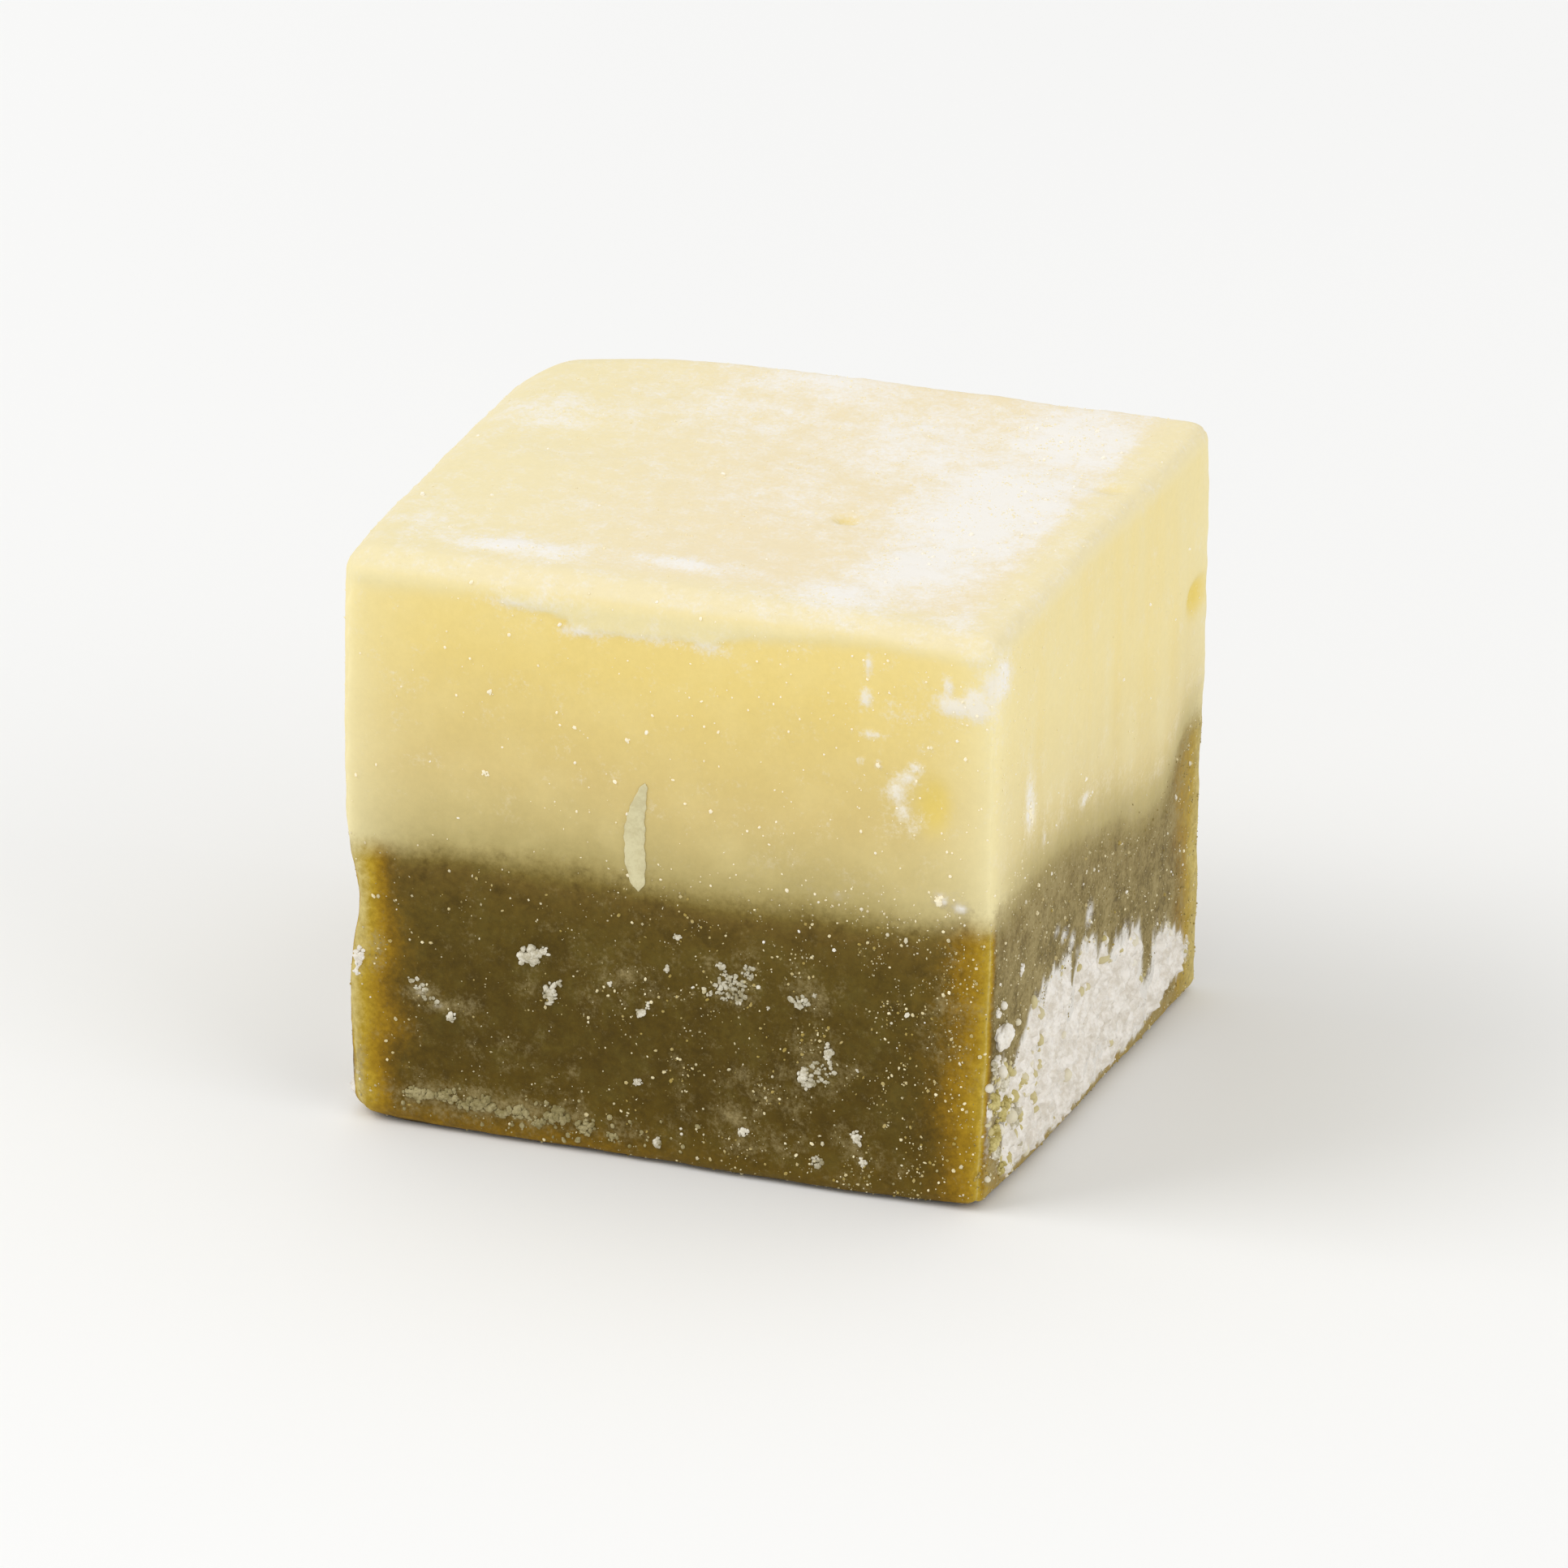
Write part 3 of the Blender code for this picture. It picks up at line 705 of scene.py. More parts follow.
# Noise whose features are about size millimetres across
def noiseField(tree, coordinates, size, detail=3.0, roughness=0.55):
    inputs = {"Vector": coordinates, "Scale": 1.0 / (size * mm), "Detail": detail, "Roughness": roughness}
    return addNode(tree, "ShaderNodeTexNoise", inputs).outputs["Fac"]


def objectPlace(tree):
    return addNode(tree, "ShaderNodeTexCoord").outputs["Object"]


def attribute(tree, name):
    return addNode(tree, "ShaderNodeAttribute", attribute_name=name).outputs["Fac"]


def bumpNormal(tree, strength, distance, height):
    inputs = {"Strength": strength, "Distance": distance * mm, "Height": height}
    return addNode(tree, "ShaderNodeBump", inputs).outputs["Normal"]


# A Principled material with its constants on the shader's own sockets
def newMaterial(name, settings):
    made = bpy.data.materials.new(name)
    made.use_nodes = True
    shader = made.node_tree.nodes["Principled BSDF"]
    for socket, value in settings.items():
        shader.inputs[socket].default_value = value
    return made, made.node_tree, shader.inputs


# Powder haze: mixes powder colour over a surface, broken up into fine grains
def hazeGroup():
    tree, given = newGroup(
        "powderHaze", "ShaderNodeTree",
        {"Colour": "Color", "Powder": "Color", "Dust": "Float"},
        {"Colour": "Color", "Mask": "Float", "Height": "Float"},
    )
    coordinates = objectPlace(tree)
    cloud = noiseField(tree, coordinates, 0.8, 5.0, 0.68)
    grain = noiseField(tree, coordinates, 0.13, 3.0, 0.7)
    rough = mathNode(tree, "MULTIPLY_ADD", grain, 0.45, mathNode(tree, "MULTIPLY", cloud, 0.55))
    # Thin dust shows only on the high grains, thick dust covers all
    level = mathNode(tree, "MULTIPLY_ADD", rough, 2.6, mathNode(tree, "SUBTRACT", given["Dust"], 1.3))
    mask = between(tree, level, 0.02, 0.98)
    addNode(tree, "NodeGroupOutput", {
        "Colour": mixColours(tree, mask, given["Colour"], given["Powder"]),
        "Mask": mask,
        "Height": mathNode(tree, "MULTIPLY", mask, grain),
    })
    return tree


# Both layers share one set of colours, so that no line shows where the solids meet
ganache = {
    # height above the colour line in millimetres, colour
    "byHeight": (
        (-9.4, "6A5418"), (-8.4, "604C13"), (-6.5, "574512"), (-4.0, "594713"), (-2.2, "5F4D17"),
        (-1.2, "65511C"), (-0.75, "6E5924"), (-0.4, "7D6A30"), (-0.1, "928148"), (0.2, "A4935A"),
        (0.5, "B0A067"), (0.9, "BAA96F"), (1.8, "C8B578"), (3.0, "D2BC7B"), (5.0, "DCC57D"),
        (7.0, "E6CE7E"), (8.6, "EBD486"),
    ),
    # strength of the glow, colour
    "byGlow": (
        (0.0, "6A531A"), (0.2, "785B16"), (0.4, "8C6A12"), (0.6, "A4811A"), (0.8, "BA9B2E"),
        (1.0, "CDBA72"),
    ),
    "paleMottle": "F0DFA0",
    "oliveMottle": "6B5D26",
    "brownMottle": "46360D",
    "edgeColour": "F1E5B2",
    "edgeReach": 1.3,
    "skinColour": "E7DBAB",
    "topColour": "E9DAB6",
    "yellowerTopColour": "EADDB0",
    "wetColour": "E3C962",
    "darkWetColour": "B58A22",
    "powderColour": "EDE9E1",
    "dustColour": "A8986A",
    "paleDustColour": "ECE0BE",
    "paleLight": 1.05,
    "darkLight": 0.92,
    "bump": (0.35, 0.04),    # strength, depth in millimetres
    "shader": {"Roughness": 0.6, "IOR": 1.35, "Specular IOR Level": 0.2},
}


def colourStops(tree, value, stops):
    low, high = stops[0][0], stops[-1][0]
    node = addNode(tree, "ShaderNodeValToRGB", {"Fac": between(tree, value, low, high, kind="LINEAR")})
    elements = node.color_ramp.elements
    while len(elements) < len(stops):
        elements.new(0.5)
    for element, (place, colour) in zip(elements, stops):
        element.position = (place - low) / (high - low)
        element.color = srgb(colour)
    return node.outputs["Color"]


# Colour of both layers: by height above the colour line, then edges, top, dents and powder
def ganacheGroup(powderHaze):
    tone = {name: srgb(value) for name, value in ganache.items() if isinstance(value, str)}
    outputs = {"Colour": "Color", "Mask": "Float", "Height": "Float"}
    tree = newGroup("ganacheColour", "ShaderNodeTree", {}, outputs)[0]
    coordinates = objectPlace(tree)
    cloud = noiseField(tree, coordinates, 3.5, 2.0)
    fine = noiseField(tree, coordinates, 0.22, 4.0, 0.7)
    patchy = noiseField(tree, coordinates, 0.9, 5.0, 0.65)
    broad = noiseField(tree, coordinates, 2.4, 3.0)
    above = mathNode(tree, "MULTIPLY_ADD", cloud, 0.7, attribute(tree, "overSeam"))
    above = mathNode(tree, "MULTIPLY_ADD", fine, 0.45, above)
    above = mathNode(tree, "MULTIPLY_ADD", patchy, 0.5, above)
    above = mathNode(tree, "SUBTRACT", above, 0.825)
    isPale = between(tree, above, -0.6, 0.5)
    isDark = mathNode(tree, "SUBTRACT", 1.0, isPale)
    # Light shines through the dark layer by its edges, and pales the upper layer there
    glow = mathNode(tree, "MULTIPLY_ADD", fine, 0.3, attribute(tree, "glow"))
    glow = mathNode(tree, "MULTIPLY_ADD", patchy, 0.2, mathNode(tree, "SUBTRACT", glow, 0.25))
    reach = mathNode(tree, "DIVIDE", attribute(tree, "uprightEdge"), -ganache["edgeReach"])
    nearEdge = mathNode(tree, "MULTIPLY", mathNode(tree, "POWER", math.e, reach), 0.85)
    colour = colourStops(tree, above, ganache["byHeight"])
    for layer, share, second in (
        (isPale, between(tree, broad, 0.4, 0.75, 0.0, 0.2), tone["paleMottle"]),
        (isDark, between(tree, patchy, 0.45, 0.72, 0.0, 0.5), tone["oliveMottle"]),
        (isDark, between(tree, patchy, 0.5, 0.3, 0.0, 0.5), tone["brownMottle"]),
        (isDark, between(tree, glow, 0.0, 0.55), colourStops(tree, glow, ganache["byGlow"])),
        (isPale, nearEdge, tone["edgeColour"]),
    ):
        colour = mixColours(tree, mathNode(tree, "MULTIPLY", share, layer), colour, second)
    skin = mathNode(tree, "MULTIPLY", attribute(tree, "skin"), 0.85)
    colour = mixColours(tree, skin, colour, tone["skinColour"])
    yellower = attribute(tree, "yellower")
    topColour = mixColours(tree, yellower, tone["topColour"], tone["yellowerTopColour"])
    colour = mixColours(tree, attribute(tree, "onTop"), colour, topColour)
    wetColour = mixColours(tree, isPale, tone["darkWetColour"], tone["wetColour"])
    colour = mixColours(tree, attribute(tree, "wet"), colour, wetColour)
    # Fine grain over all, stronger on the dark layer
    shade = shaded(tree, colour, between(tree, fine, 0.25, 0.75, 0.8, 1.22, "LINEAR"))
    colour = mixColours(tree, mathNode(tree, "MULTIPLY_ADD", isDark, 0.75, 0.12), colour, shade)
    # Thin dust takes the tone of what is under it, thick powder is white everywhere
    thinColour = mixColours(tree, between(tree, above, -0.3, 2.6), tone["dustColour"], tone["paleDustColour"])
    haze = addNode(tree, "ShaderNodeGroup", node_tree=powderHaze)
    for name, socket in (
        ("Colour", colour),
        ("Powder", mixColours(tree, attribute(tree, "whiteness"), thinColour, tone["powderColour"])),
        ("Dust", attribute(tree, "dust")),
    ):
        tree.links.new(socket, haze.inputs[name])
    light = between(tree, isPale, 0.0, 1.0, ganache["darkLight"], ganache["paleLight"], "LINEAR")
    halfFine = mathNode(tree, "MULTIPLY", fine, 0.5)
    addNode(tree, "NodeGroupOutput", {
        "Colour": shaded(tree, haze.outputs["Colour"], light),
        "Mask": haze.outputs["Mask"],
        "Height": mathNode(tree, "MULTIPLY_ADD", haze.outputs["Height"], 0.8, halfFine),
    })
    return tree


ganacheColour = ganacheGroup(hazeGroup())


def ganacheMaterial(name):
    made, tree, inputs = newMaterial(name, ganache["shader"])
    skin = addNode(tree, "ShaderNodeGroup", node_tree=ganacheColour).outputs
    tree.links.new(skin["Colour"], inputs["Base Color"])
    tree.links.new(between(tree, skin["Mask"], 0.0, 0.8, 0.5, 0.9), inputs["Roughness"])
    tree.links.new(bumpNormal(tree, *ganache["bump"], skin["Height"]), inputs["Normal"])
    return made


# Powders and crumbs: light tone, dark tone, tone over the pale layer, shader settings,
# and whether each loose grain has its own tone
powderLooks = {
    "bankPowder": ("F3EEE6", "DAD2C4", None, {}, False),
    "bankCrumb": ("F1ECE1", "C4B67C", None, {}, True),
    "whitePowder": ("F4F0E8", "E3DCCD", "FBF1D2", {}, False),
    "creamPowder": ("E9E3D1", "AEA588", None, {}, False),
    "paleDust": ("F4EAC6", "8C7B45", "F6EBC6", {}, True),
    "looseWhite": ("FAF6EC", "C9BD93", "FBF5E4", {}, True),
    "sugarCrystal": ("EEE7CF", "B3A77C", "FFF5D8", {
        "Roughness": 0.3, "IOR": 1.45, "Transmission Weight": 0.3, "Specular IOR Level": 0.5,
    }, False),
    "looseCrystal": ("FFF4CC", "A8924A", "FFF5D8", {"Roughness": 0.3}, True),
    # Crumbs low on the block: their own khaki tone, darkened further with painted shade of the bottom edge
    "beigeCrumbPaintedShade": ("B0A479", "877B4F", None, {}, False),
    "goldenCrumb": ("D2C586", "9A8842", None, {}, False),
    "shavingSkin": ("DAD2A8", "CCC297", None, {"Roughness": 0.6}, False),
}
matte = {"Roughness": 0.9, "IOR": 1.4, "Specular IOR Level": 0.3}
powderBump = (0.4, 0.03)     # strength, depth in millimetres


def powderMaterial(name, shade, lowShade, overPale, settings, byGrain):
    made, tree, inputs = newMaterial(name, {**matte, **settings})
    coordinates = objectPlace(tree)
    grain = noiseField(tree, coordinates, 0.12, 3.0, 0.65)
    if byGrain:
        share = attribute(tree, "tone")
    else:
        cloud = mathNode(tree, "MULTIPLY", noiseField(tree, coordinates, 0.5, 3.0), 0.6)
        share = between(tree, mathNode(tree, "MULTIPLY_ADD", grain, 0.4, cloud), 0.36, 0.62)
    colour = mixColours(tree, share, srgb(lowShade), srgb(shade))
    if overPale:
        # What lies on the pale layer looks lighter, because light comes through from under it
        height = addNode(tree, "ShaderNodeSeparateXYZ", {"Vector": coordinates}).outputs["Z"]
        colour = mixColours(tree, between(tree, height, 9.2 * mm, 10.2 * mm), colour, srgb(overPale))
    tree.links.new(colour, inputs["Base Color"])
    tree.links.new(bumpNormal(tree, *powderBump, grain), inputs["Normal"])
    return made


print("materials")
powders = {name: powderMaterial(name, *look) for name, look in powderLooks.items()}

print("layers")
whiteLayer = buildLayer(
    "whiteLayer", block["seamHeight"], block["height"], True, ganacheMaterial("paleGanache"))
hojichaLayer = buildLayer(
    "hojichaLayer", 0.0, block["seamHeight"], False, ganacheMaterial("darkGanache"))


# The evaluated mesh of an object, with its modifiers applied and removed
def plainMesh(made, name):
    graph = bpy.context.evaluated_depsgraph_get()
    data = bpy.data.meshes.new_from_object(made.evaluated_get(graph))
    data.name = name
    made.modifiers.clear()
    made.data = data
    return data


# One list of points and one of faces out of several
def joined(parts):
    polygons = []
    start = 0
    for points, some in parts:
        polygons += (np.asarray(some) + start).tolist()
        start += len(points)
    return np.concatenate([points for points, some in parts]), polygons


def faceOutwards(data):
    shape = bmesh.new()
    shape.from_mesh(data)
    bmesh.ops.recalc_face_normals(shape, faces=shape.faces)
    shape.to_mesh(data)
    shape.free()


# Caked powder: sheets that follow a face, and show only where they rise out of it
banks = {
    # face, half length, top, step
    "places": (("right", 9.25, 8.9, 0.065), ("back", 10.8, 5.4, 0.08775), ("left", 9.25, 4.9, 0.08775)),
    "bottom": 0.2,
    "leastGap": 1.5,
    "thickness": 0.17,
    "rim": -0.05,
    "deepest": -0.08,
    "keepAbove": -0.03,
    "backing": 0.1,
}


def steps(low, high, step):
    return np.linspace(low, high, max(2, round((high - low) / step) + 1))


# A sheet over the lower part of a face. Where its cover is below 0 it stays under the surface
def powderBank(face, halfLength, top, step):
    us = steps(-halfLength, halfLength, step)
    vs = steps(banks["bottom"], top, step)
    places = facePlaces(face, us, vs)
    lumpy = crumbly(places, 0.9, (3, 7, 1), 4)
    grains = crumbly(places, 0.26, (8, 2, 6), 3)
    full = bankCover(places, face, banks["leastGap"]) - 0.1 + 0.24 * lumpy + 0.2 * grains
    raised = 0.2 * np.minimum(full / 0.2, 1.0) + 0.7 * np.minimum(full, 1.1)
    rise = np.where(full > 0.0, raised, 0.9 * full)
    rise = banks["thickness"] * (rise + (0.75 * lumpy + 0.8 * grains) * eased(full / 0.35))
    columns, rows = len(us), len(vs)
    grid = shapedPlaces(places).reshape(columns, rows, 3)
    normal = np.cross(np.gradient(grid, axis=0), np.gradient(grid, axis=1))
    normal /= np.linalg.norm(normal, axis=2, keepdims=True)
    flipped = (normal @ np.array(faces[face][0], float)).mean() < 0.0
    normal = -normal if flipped else normal
    height = np.maximum(rise, banks["deepest"]).reshape(columns, rows)
    height[[0, -1], :] = banks["rim"]
    height[:, [0, -1]] = banks["rim"]
    points = (grid + normal * height[:, :, None]).reshape(-1, 3)
    tallest = np.maximum(height[:-1], height[1:])
    i, j = np.nonzero(np.maximum(tallest[:, :-1], tallest[:, 1:]) > banks["keepAbove"])
    corner = i * rows + j
    quads = np.stack((corner, corner + rows, corner + rows + 1, corner + 1), axis=1)
    quads = quads[:, ::-1] if flipped else quads
    used, renumbered = np.unique(quads, return_inverse=True)
    return points[used], renumbered.reshape(quads.shape)


def meshPiece(name, parts, material, smooth=True):
    data = newMesh(name, *joined(parts), smooth)
    print(name, len(data.polygons), "faces")
    return addObject(name, data, powders[material])


print("powder banks")
for face, *sizes in banks["places"]:
    piece = meshPiece("powderBank" + face.capitalize(), [powderBank(face, *sizes)], "bankPowder")
    backing = piece.modifiers.new("backing", "SOLIDIFY")
    backing.thickness = banks["backing"] * mm
    backing.offset = -1.0
    plainMesh(piece, piece.name)

# Clusters of crumbs that stick to the faces
clusters = {
    "firstSeed": 1000,
    "roughness": 0.36,
    "crystalSizes": (0.035, 0.095),
    "goldenAngle": 2.39996,
    # kind, material, face, then for each cluster its number, which sets its seed, its place,
    # half sizes along, up and out, turn in degrees, crumbs
    "kinds": {
        "white": ("whitePowder", {
            "front": (
                (23, -10.66, 5.62, 0.28, 0.5, 0.18, 0, 17), (24, -10.7, 5.12, 0.2, 0.24, 0.14, 0, 7),
                (36, 9.22, 10.42, 0.24, 0.24, 0.1, 0, 9), (37, -5.9, 15.2, 0.14, 0.12, 0.05, 0, 6),
                (38, -6.1, 12.45, 0.16, 0.18, 0.05, 0, 6), (39, -1.25, 14.3, 0.1, 0.12, 0.05, 0, 4),
                (40, 7.1, 14.66, 0.11, 0.11, 0.05, 0, 4),
            ),
            "right": (
                (48, -8.4, 5.7, 0.72, 0.74, 0.46, 0, 1), (49, -8.8, 6.6, 0.22, 0.22, 0.14, 0, 4),
                (50, -8.8, 4.95, 0.34, 0.28, 0.2, 0, 6), (52, -6.9, 7.3, 0.2, 0.3, 0.1, 0, 9),
                (53, -6.1, 12.2, 0.2, 0.55, 0.04, 5, 18),
            ),
            "back": ((63, -3.4, 14.8, 0.3, 0.24, 0.1, 10, 10), (64, 6.8, 11.6, 0.2, 0.34, 0.1, 0, 9)),
            "left": ((67, 3.2, 12.1, 0.26, 0.3, 0.1, 0, 10),),
        }),
        "cream": ("creamPowder", {
            "front": (
                (0, -4.55, 6.5, 0.68, 0.42, 0.22, 16, 15), (1, -4.05, 6.75, 0.2, 0.22, 0.14, 0, 7),
                (2, -3.93, 5.32, 0.34, 0.52, 0.16, -10, 17), (3, -3.6, 5.7, 0.16, 0.18, 0.1, 0, 5),
                (5, -7.32, 4.02, 0.26, 0.22, 0.16, 20, 9), (7, 1.95, 7.1, 0.3, 0.16, 0.12, -30, 8),
                (9, 4.86, 3.78, 0.32, 0.52, 0.18, 12, 19), (10, 5.62, 4.72, 0.2, 0.48, 0.14, 5, 14),
                (12, -0.8, 5.13, 0.24, 0.22, 0.12, 20, 10), (13, -0.55, 5.4, 0.12, 0.18, 0.08, 0, 5),
                (14, 0.45, 7.9, 0.18, 0.16, 0.1, 0, 7), (15, 0.1, 6.75, 0.14, 0.2, 0.08, 0, 5),
                (16, 2.75, 1.6, 0.26, 0.22, 0.12, 0, 10), (18, 6.6, 2.0, 0.22, 0.36, 0.12, 20, 12),
                (19, 6.85, 1.2, 0.18, 0.24, 0.1, 0, 8), (21, -0.9, 2.75, 0.26, 0.16, 0.08, 20, 8),
                (22, -0.24, 0.78, 0.22, 0.22, 0.14, 0, 7), (41, 2.05, 6.85, 0.12, 0.1, 0.1, 0, 5),
                (42, 1.6, 6.15, 0.1, 0.14, 0.08, 0, 5), (43, 2.6, 6.0, 0.14, 0.1, 0.08, 0, 5),
                (44, -1.85, 5.95, 0.12, 0.12, 0.06, 0, 5), (45, 3.55, 5.95, 0.1, 0.1, 0.06, 0, 3),
                (46, 5.1, 6.6, 0.12, 0.1, 0.06, 0, 5), (47, 6.6, 4.3, 0.09, 0.09, 0.06, 0, 3),
            ),
            "right": (
                (51, -8.9, 4.9, 0.3, 0.4, 0.16, 0, 12), (57, -8.0, 3.9, 0.5, 0.34, 0.2, 20, 20),
                (59, -7.0, 2.4, 0.6, 0.7, 0.2, -20, 17), (60, -8.4, 1.7, 0.4, 0.34, 0.16, 0, 14),
                (62, -6.2, 1.1, 0.5, 0.4, 0.16, 0, 14),
            ),
            "back": ((65, 2.0, 6.4, 0.46, 0.34, 0.18, 20, 17), (66, -7.2, 5.2, 0.34, 0.3, 0.16, 0, 14)),
            "left": ((68, -5.5, 6.2, 0.36, 0.3, 0.16, 0, 14), (69, 1.4, 5.6, 0.3, 0.36, 0.14, 0, 14)),
        }),
        # Crumbs low on the front, in khaki tones darkened with painted shade
        "beige": ("beigeCrumbPaintedShade", {
            "front": (
                (25, -8.6, 1.22, 0.6, 0.28, 0.09, 0, 20), (26, -7.5, 1.25, 0.6, 0.3, 0.12, 10, 20),
                (27, -6.3, 1.2, 0.66, 0.36, 0.14, 0, 20), (28, -5.0, 1.1, 0.6, 0.3, 0.12, 0, 20),
                (29, -3.7, 1.15, 0.55, 0.46, 0.16, 0, 20), (30, -2.7, 0.9, 0.46, 0.34, 0.14, 0, 20),
                (31, -8.1, 1.2, 0.34, 0.2, 0.08, 0, 9), (32, -6.9, 1.05, 0.4, 0.24, 0.1, 10, 11),
                (33, -5.6, 0.95, 0.34, 0.2, 0.09, 0, 9), (34, -4.35, 0.85, 0.4, 0.24, 0.1, -10, 11),
                (35, -1.8, 0.75, 0.3, 0.18, 0.08, 0, 8),
            ),
        }),
        "golden": ("goldenCrumb", {
            "right": (
                (54, -8.8, 3.6, 0.44, 0.5, 0.2, 0, 16), (55, -7.9, 3.0, 0.6, 0.46, 0.2, 30, 20),
                (56, -8.7, 2.1, 0.44, 0.44, 0.18, 0, 14), (58, -8.6, 2.4, 0.5, 0.7, 0.2, 0, 16),
                (61, -7.6, 1.0, 0.7, 0.34, 0.18, 0, 12),
            ),
        }),
        "sugar": ("sugarCrystal", {
            "front": (
                (4, -8.25, 4.8, 0.72, 0.22, 0.06, -38, 20), (6, 2.25, 6.4, 0.58, 0.54, 0.12, 0, 75),
                (8, 2.85, 7.05, 0.22, 0.26, 0.1, 0, 18), (11, 5.35, 4.0, 0.56, 0.44, 0.05, 20, 31),
                (17, 4.6, 6.31, 0.36, 0.22, 0.06, 10, 24), (20, 5.3, 1.0, 0.26, 0.18, 0.08, 0, 13),
            ),
        }),
    },
}


def icoBall(detail):
    shape = bmesh.new()
    bmesh.ops.create_icosphere(shape, subdivisions=detail, radius=1.0)
    points = np.array([vertex.co[:] for vertex in shape.verts])
    triangles = np.array([[vertex.index for vertex in face.verts] for face in shape.faces])
    shape.free()
    return points, triangles


# Rough crumbs heaped round one place: large in the middle, small and low at the rim
def crumbCluster(face, crystals, number, middleU, middleV, sizeU, sizeV, height, turn, count):
    draw = np.random.default_rng(clusters["firstSeed"] + number)
    direction = np.array(faces[face][0], float)
    upwards = np.array((0.0, 0.0, 1.0))
    across = np.cross(upwards, direction)
    turn = math.radians(turn)
    along = -1.0 if face in ("back", "left") else 1.0
    parts = []
    for crumb in range(count):
        away = math.sqrt(crumb / count) if count > 1 else 0.0
        angle = crumb * clusters["goldenAngle"] + draw.uniform(-0.6, 0.6)
        spread = away * (0.95 if crystals else 0.75)
        right = math.cos(angle) * sizeU * spread
        up = math.sin(angle) * sizeV * spread
        u = middleU + along * (right * math.cos(turn) - up * math.sin(turn))
        v = middleV + right * math.sin(turn) + up * math.cos(turn)
        share = (1.0 - 0.5 * away) * draw.uniform(0.55, 1.1)
        wide = (0.16 + 0.85 / math.sqrt(count)) * math.sqrt(sizeU * sizeV) * share
        if crystals:
            wide = draw.uniform(*clusters["crystalSizes"])
        radius = [wide * draw.uniform(0.7, 1.35), wide * draw.uniform(0.7, 1.35)]
        radius.append(min(height * share, wide * 1.1))
        base = shapedPlaces(facePlaces(face, [u], [v]))[0]
        detail = 1 if crystals else 4 if wide > 0.22 else 3 if wide > 0.09 else 2
        ball, triangles = icoBall(detail)
        shift = (number * 3.7 + crumb, number * 1.3, crumb * 2.1)
        rough = 1.0 + clusters["roughness"] * crumbly(ball, 0.8, shift, 4)
        cells = [noise.voronoi(place)[0][0] for place in (ball * 2.2 + np.array(shift)).tolist()]
        rough += 0.16 * (0.35 - np.minimum(cells, 0.7))
        moved = (ball * rough[:, None] * radius) @ np.stack((across, upwards, direction))
        parts.append((base + direction * radius[2] * 0.25 + moved, triangles))
    return parts


print("clusters")
for kind, (material, places) in clusters["kinds"].items():
    parts = []
    for face, rows in places.items():
        for row in rows:
            parts += crumbCluster(face, kind == "sugar", *row)
    faceOutwards(meshPiece(kind + "Clusters", parts, material, kind != "sugar").data)

# The thin shaving that lies on the front, over the seam
shaving = {
    "line": ((-0.66, 12.95), (-0.84, 12.35), (-0.99, 11.7), (-1.03, 11.0), (-0.99, 10.2), (-0.88, 9.25)),
    "halfWidths": (0.1, 0.22, 0.32, 0.36, 0.35, 0.22),
    "thickness": 0.035,
    "lift": 0.02,
    "rows": 70,
    "columns": 16,
}


# A flat curl with a rounded section, pointed at both ends
def shavingPiece():
    rows, columns = shaving["rows"], shaving["columns"]
    along = np.linspace(0.0, 1.0, rows)
    knots = np.linspace(0.0, 1.0, len(shaving["line"]))
    lines = (*np.array(shaving["line"]).T, shaving["halfWidths"])
    middleX, middleZ, half = (np.interp(along, knots, line) for line in lines)
    half = np.convolve(np.pad(half, 4, mode="edge"), np.ones(9) / 9.0, mode="valid")
    half *= np.clip(np.minimum(along, 1.0 - along) / 0.05, 0.05, 1.0)
    along, middleX, middleZ, half = (values[:, None] for values in (along, middleX, middleZ, half))
    turn = np.linspace(0.0, 2.0 * math.pi, columns, endpoint=False)
    ragged = 1.0 + 0.1 * np.sin(along * 41.0 + turn * 2.0) * np.sin(along * 17.0)
    x = middleX + np.cos(turn) * half * ragged
    places = np.stack((x, np.full_like(x, -halfDepth), middleZ + np.zeros_like(x)), axis=-1)
    points = shapedPlaces(places.reshape(-1, 3))
    out = np.sin(turn) * shaving["thickness"] * np.minimum(1.0, half / 0.2) + shaving["lift"]
    points[:, 1] -= out.ravel()
    polygons = []
    for row in range(rows - 1):
        polygons += ringBand(row * columns, (row + 1) * columns, columns)
    polygons.append(tuple(range(columns))[::-1])
    polygons.append(tuple(range(len(points) - columns, len(points))))
    data = newMesh("shaving", points, polygons)
    faceOutwards(data)
    addObject("shaving", data, powders["shavingSkin"])


shavingPiece()

# Loose grains, scattered by Geometry Nodes over the skin of both layers: most per square millimetre,
# smallest and largest radius, roundness, seed, material
grainKinds = {
    "fineDust": (80.0, 0.018, 0.05, 4, 2, 11, "paleDust"),
    "powderGrains": (16.0, 0.035, 0.095, 5, 3, 23, "looseWhite"),
    "sugarGrains": (14.0, 0.03, 0.08, 5, 3, 37, "looseCrystal"),
    # The crumbs low on the block take the khaki crumb tones with painted shade
    "edgeCrumbs": (22.0, 0.03, 0.11, 7, 5, 41, "beigeCrumbPaintedShade"),
    "bankCrumbs": (15.0, 0.05, 0.24, 8, 6, 53, "bankCrumb"),
}
grainLook = {
    "leastSquash": (0.65, 0.65, 0.5),
    "mostSquash": (1.35, 1.35, 1.0),
    "fullTurn": (6.283, 6.283, 6.283),
    "sizeSkew": 2.2,     # above 1, most grains are small and dark
    "toneSkew": 1.9,
}


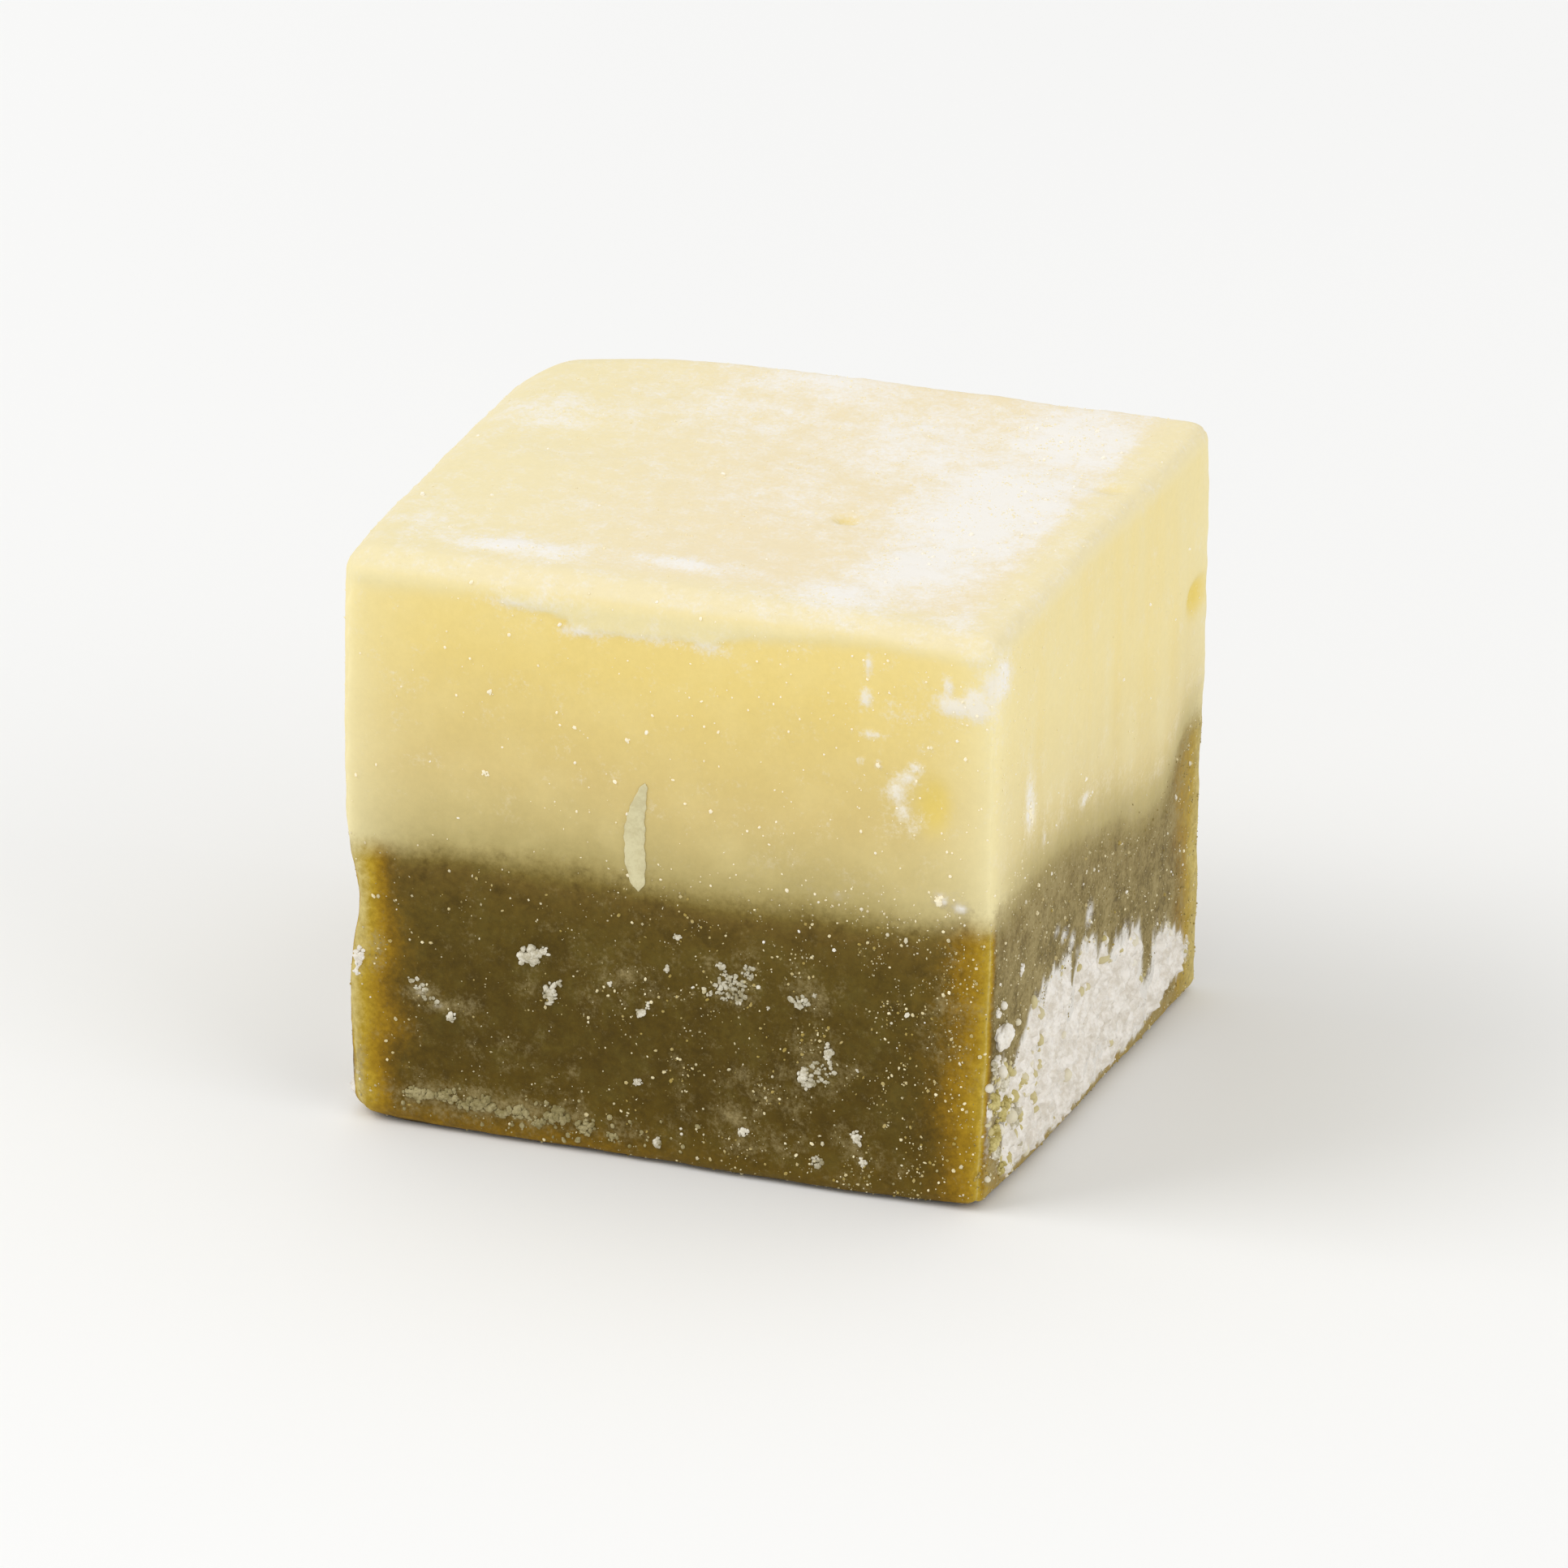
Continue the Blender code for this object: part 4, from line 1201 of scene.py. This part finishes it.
# Grains on a surface: their number from an attribute, each with its own size, turn, squash and tone
def grainTree():
    tree, given = newGroup("looseGrains", "GeometryNodeTree", {
        "Surface": "Geometry", "Share": "String", "Density": "Float", "Smallest": "Float",
        "Largest": "Float", "Sides": "Int", "Rings": "Int", "Seed": "Int", "Finish": "Material",
    }, {"Grains": "Geometry"})
    seed = given["Seed"]

    def random(inputs, kind="FLOAT_VECTOR"):
        return addNode(tree, "FunctionNodeRandomValue", inputs, data_type=kind).outputs

    share = addNode(tree, "GeometryNodeInputNamedAttribute", {"Name": given["Share"]}, data_type="FLOAT")
    points = addNode(tree, "GeometryNodeDistributePointsOnFaces", {
        "Mesh": given["Surface"],
        "Density": mathNode(tree, "MULTIPLY", share.outputs["Attribute"], given["Density"]),
        "Seed": seed,
    })
    grain = addNode(tree, "GeometryNodeMeshUVSphere", {
        "Segments": given["Sides"], "Rings": given["Rings"], "Radius": 1.0,
    })
    pick = mathNode(tree, "POWER", random({"Seed": seed}, "FLOAT")[1], grainLook["sizeSkew"])
    squash = random({0: grainLook["leastSquash"], 1: grainLook["mostSquash"], "Seed": seed})[0]
    turn = random({0: (0.0, 0.0, 0.0), 1: grainLook["fullTurn"], "Seed": seed})[0]
    size = between(tree, pick, 0.0, 1.0, given["Smallest"], given["Largest"], "LINEAR")
    scale = addNode(tree, "ShaderNodeVectorMath", {0: squash, "Scale": size}, operation="SCALE")
    placed = addNode(tree, "GeometryNodeInstanceOnPoints", {
        "Points": points.outputs["Points"],
        "Instance": grain.outputs["Mesh"],
        "Scale": scale.outputs[0],
        "Rotation": turn,
    })
    brightness = random({"Seed": mathNode(tree, "ADD", seed, 5.0)}, "FLOAT")[1]
    toned = addNode(tree, "GeometryNodeStoreNamedAttribute", {
        "Geometry": placed.outputs["Instances"],
        "Name": "tone",
        "Value": mathNode(tree, "POWER", brightness, grainLook["toneSkew"]),
    }, data_type="FLOAT", domain="INSTANCE")
    real = addNode(tree, "GeometryNodeRealizeInstances", {"Geometry": toned.outputs["Geometry"]})
    finish = addNode(tree, "GeometryNodeSetMaterial", {
        "Geometry": real.outputs["Geometry"], "Material": given["Finish"],
    })
    addNode(tree, "NodeGroupOutput", {"Grains": finish.outputs["Geometry"]})
    return tree


def scatterGrains():
    tree = grainTree()
    identifiers = {item.name: item.identifier for item in tree.interface.items_tree if item.in_out == "INPUT"}
    skin = newMesh("skin", *joined([part[:2] for part in skinParts]), False)
    for kind in grainKinds:
        addPoints(skin, kind, np.concatenate([part[2][kind] for part in skinParts]))
    for kind, (density, smallest, largest, sides, rings, seed, material) in grainKinds.items():
        made = addObject(kind, skin.copy(), powders[material])
        grains = made.modifiers.new("looseGrains", "NODES")
        grains.node_group = tree
        for name, value in {
            "Share": kind, "Density": density / mm ** 2, "Smallest": smallest * mm,
            "Largest": largest * mm, "Sides": sides, "Rings": rings, "Seed": seed,
            "Finish": powders[material],
        }.items():
            grains[identifiers[name]] = value
        made.update_tag()
        data = plainMesh(made, kind)
        if rings > 3:
            data.shade_smooth()
        print(kind, len(data.polygons), "faces")
    bpy.data.meshes.remove(skin)


print("loose grains")
scatterGrains()

# Floor, light and camera
studio = {
    "floorSize": 6000.0,
    "floorBelow": 0.02,
    "floorColours": ("F3F3F2", "F6F6F5"),
    "skyStrength": 0.74,
    "keyPlace": (-560.0, -260.0, 640.0),
    "keySize": 560.0,
    "keyPower": 2.9,
    "fillPlace": (760.0, -260.0, 330.0),
    "fillSize": 700.0,
    "fillPower": 1.7,
    "cameraAzimuth": 18.56,
    "cameraElevation": 23.17,
    "cameraRoll": 0.42,
    "cameraDistance": 644.0,
    "cameraLens": 470.0,
    "cameraAim": (0.6, 0.0, 9.3),
}


def makeStudio():
    half = studio["floorSize"] / 2.0
    ends = ((-half, -half), (half, -half), (half, half), (-half, half))
    corners = np.array([(x, y, -studio["floorBelow"]) for x, y in ends])
    made, tree, inputs = newMaterial("paleFloor", {"Roughness": 0.9})
    tone = between(tree, noiseField(tree, objectPlace(tree), 160.0, 2.0), 0.3, 0.7)
    colour = mixColours(tree, tone, *(srgb(code) for code in studio["floorColours"]))
    tree.links.new(colour, inputs["Base Color"])
    addObject("floor", newMesh("floor", corners, [(0, 1, 2, 3)], False), made)
    world = bpy.data.worlds.new("studio")
    world.use_nodes = True
    bpy.context.scene.world = world
    sky = world.node_tree.nodes["Background"].inputs
    sky["Color"].default_value = (1.0, 1.0, 1.0, 1.0)
    sky["Strength"].default_value = studio["skyStrength"]
    for name in ("key", "fill"):
        light = bpy.data.lights.new(name, "AREA")
        light.energy = studio[name + "Power"]
        light.size = studio[name + "Size"] * mm
        lamp = addObject(name, light)
        lamp.location = Vector(studio[name + "Place"]) * mm
        lamp.rotation_euler = (-lamp.location).to_track_quat("-Z", "Y").to_euler()


def makeCamera():
    azimuth = math.radians(studio["cameraAzimuth"])
    elevation = math.radians(studio["cameraElevation"])
    flat = math.cos(elevation)
    back = Vector((math.sin(azimuth) * flat, -math.cos(azimuth) * flat, math.sin(elevation)))
    camera = addObject("camera", bpy.data.cameras.new("camera"))
    camera.data.sensor_width = 36.0
    camera.data.lens = studio["cameraLens"]
    camera.data.clip_start = 0.01
    place = (Vector(studio["cameraAim"]) + back * studio["cameraDistance"]) * mm
    turn = (-back).to_track_quat("-Z", "Y").to_matrix().to_4x4()
    roll = Matrix.Rotation(math.radians(studio["cameraRoll"]), 4, "Z")
    camera.matrix_world = Matrix.Translation(place) @ turn @ roll
    bpy.context.scene.camera = camera


makeStudio()
makeCamera()
bpy.context.scene.view_settings.view_transform = "Standard"
bpy.context.scene.view_settings.look = "None"

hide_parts("white_chocolate_layer")
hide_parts("hojicha_layer")
for piece in bpy.context.scene.objects:
    if piece.type == "MESH" and piece.name != "floor" and "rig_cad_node" not in piece:
        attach(piece, "root")
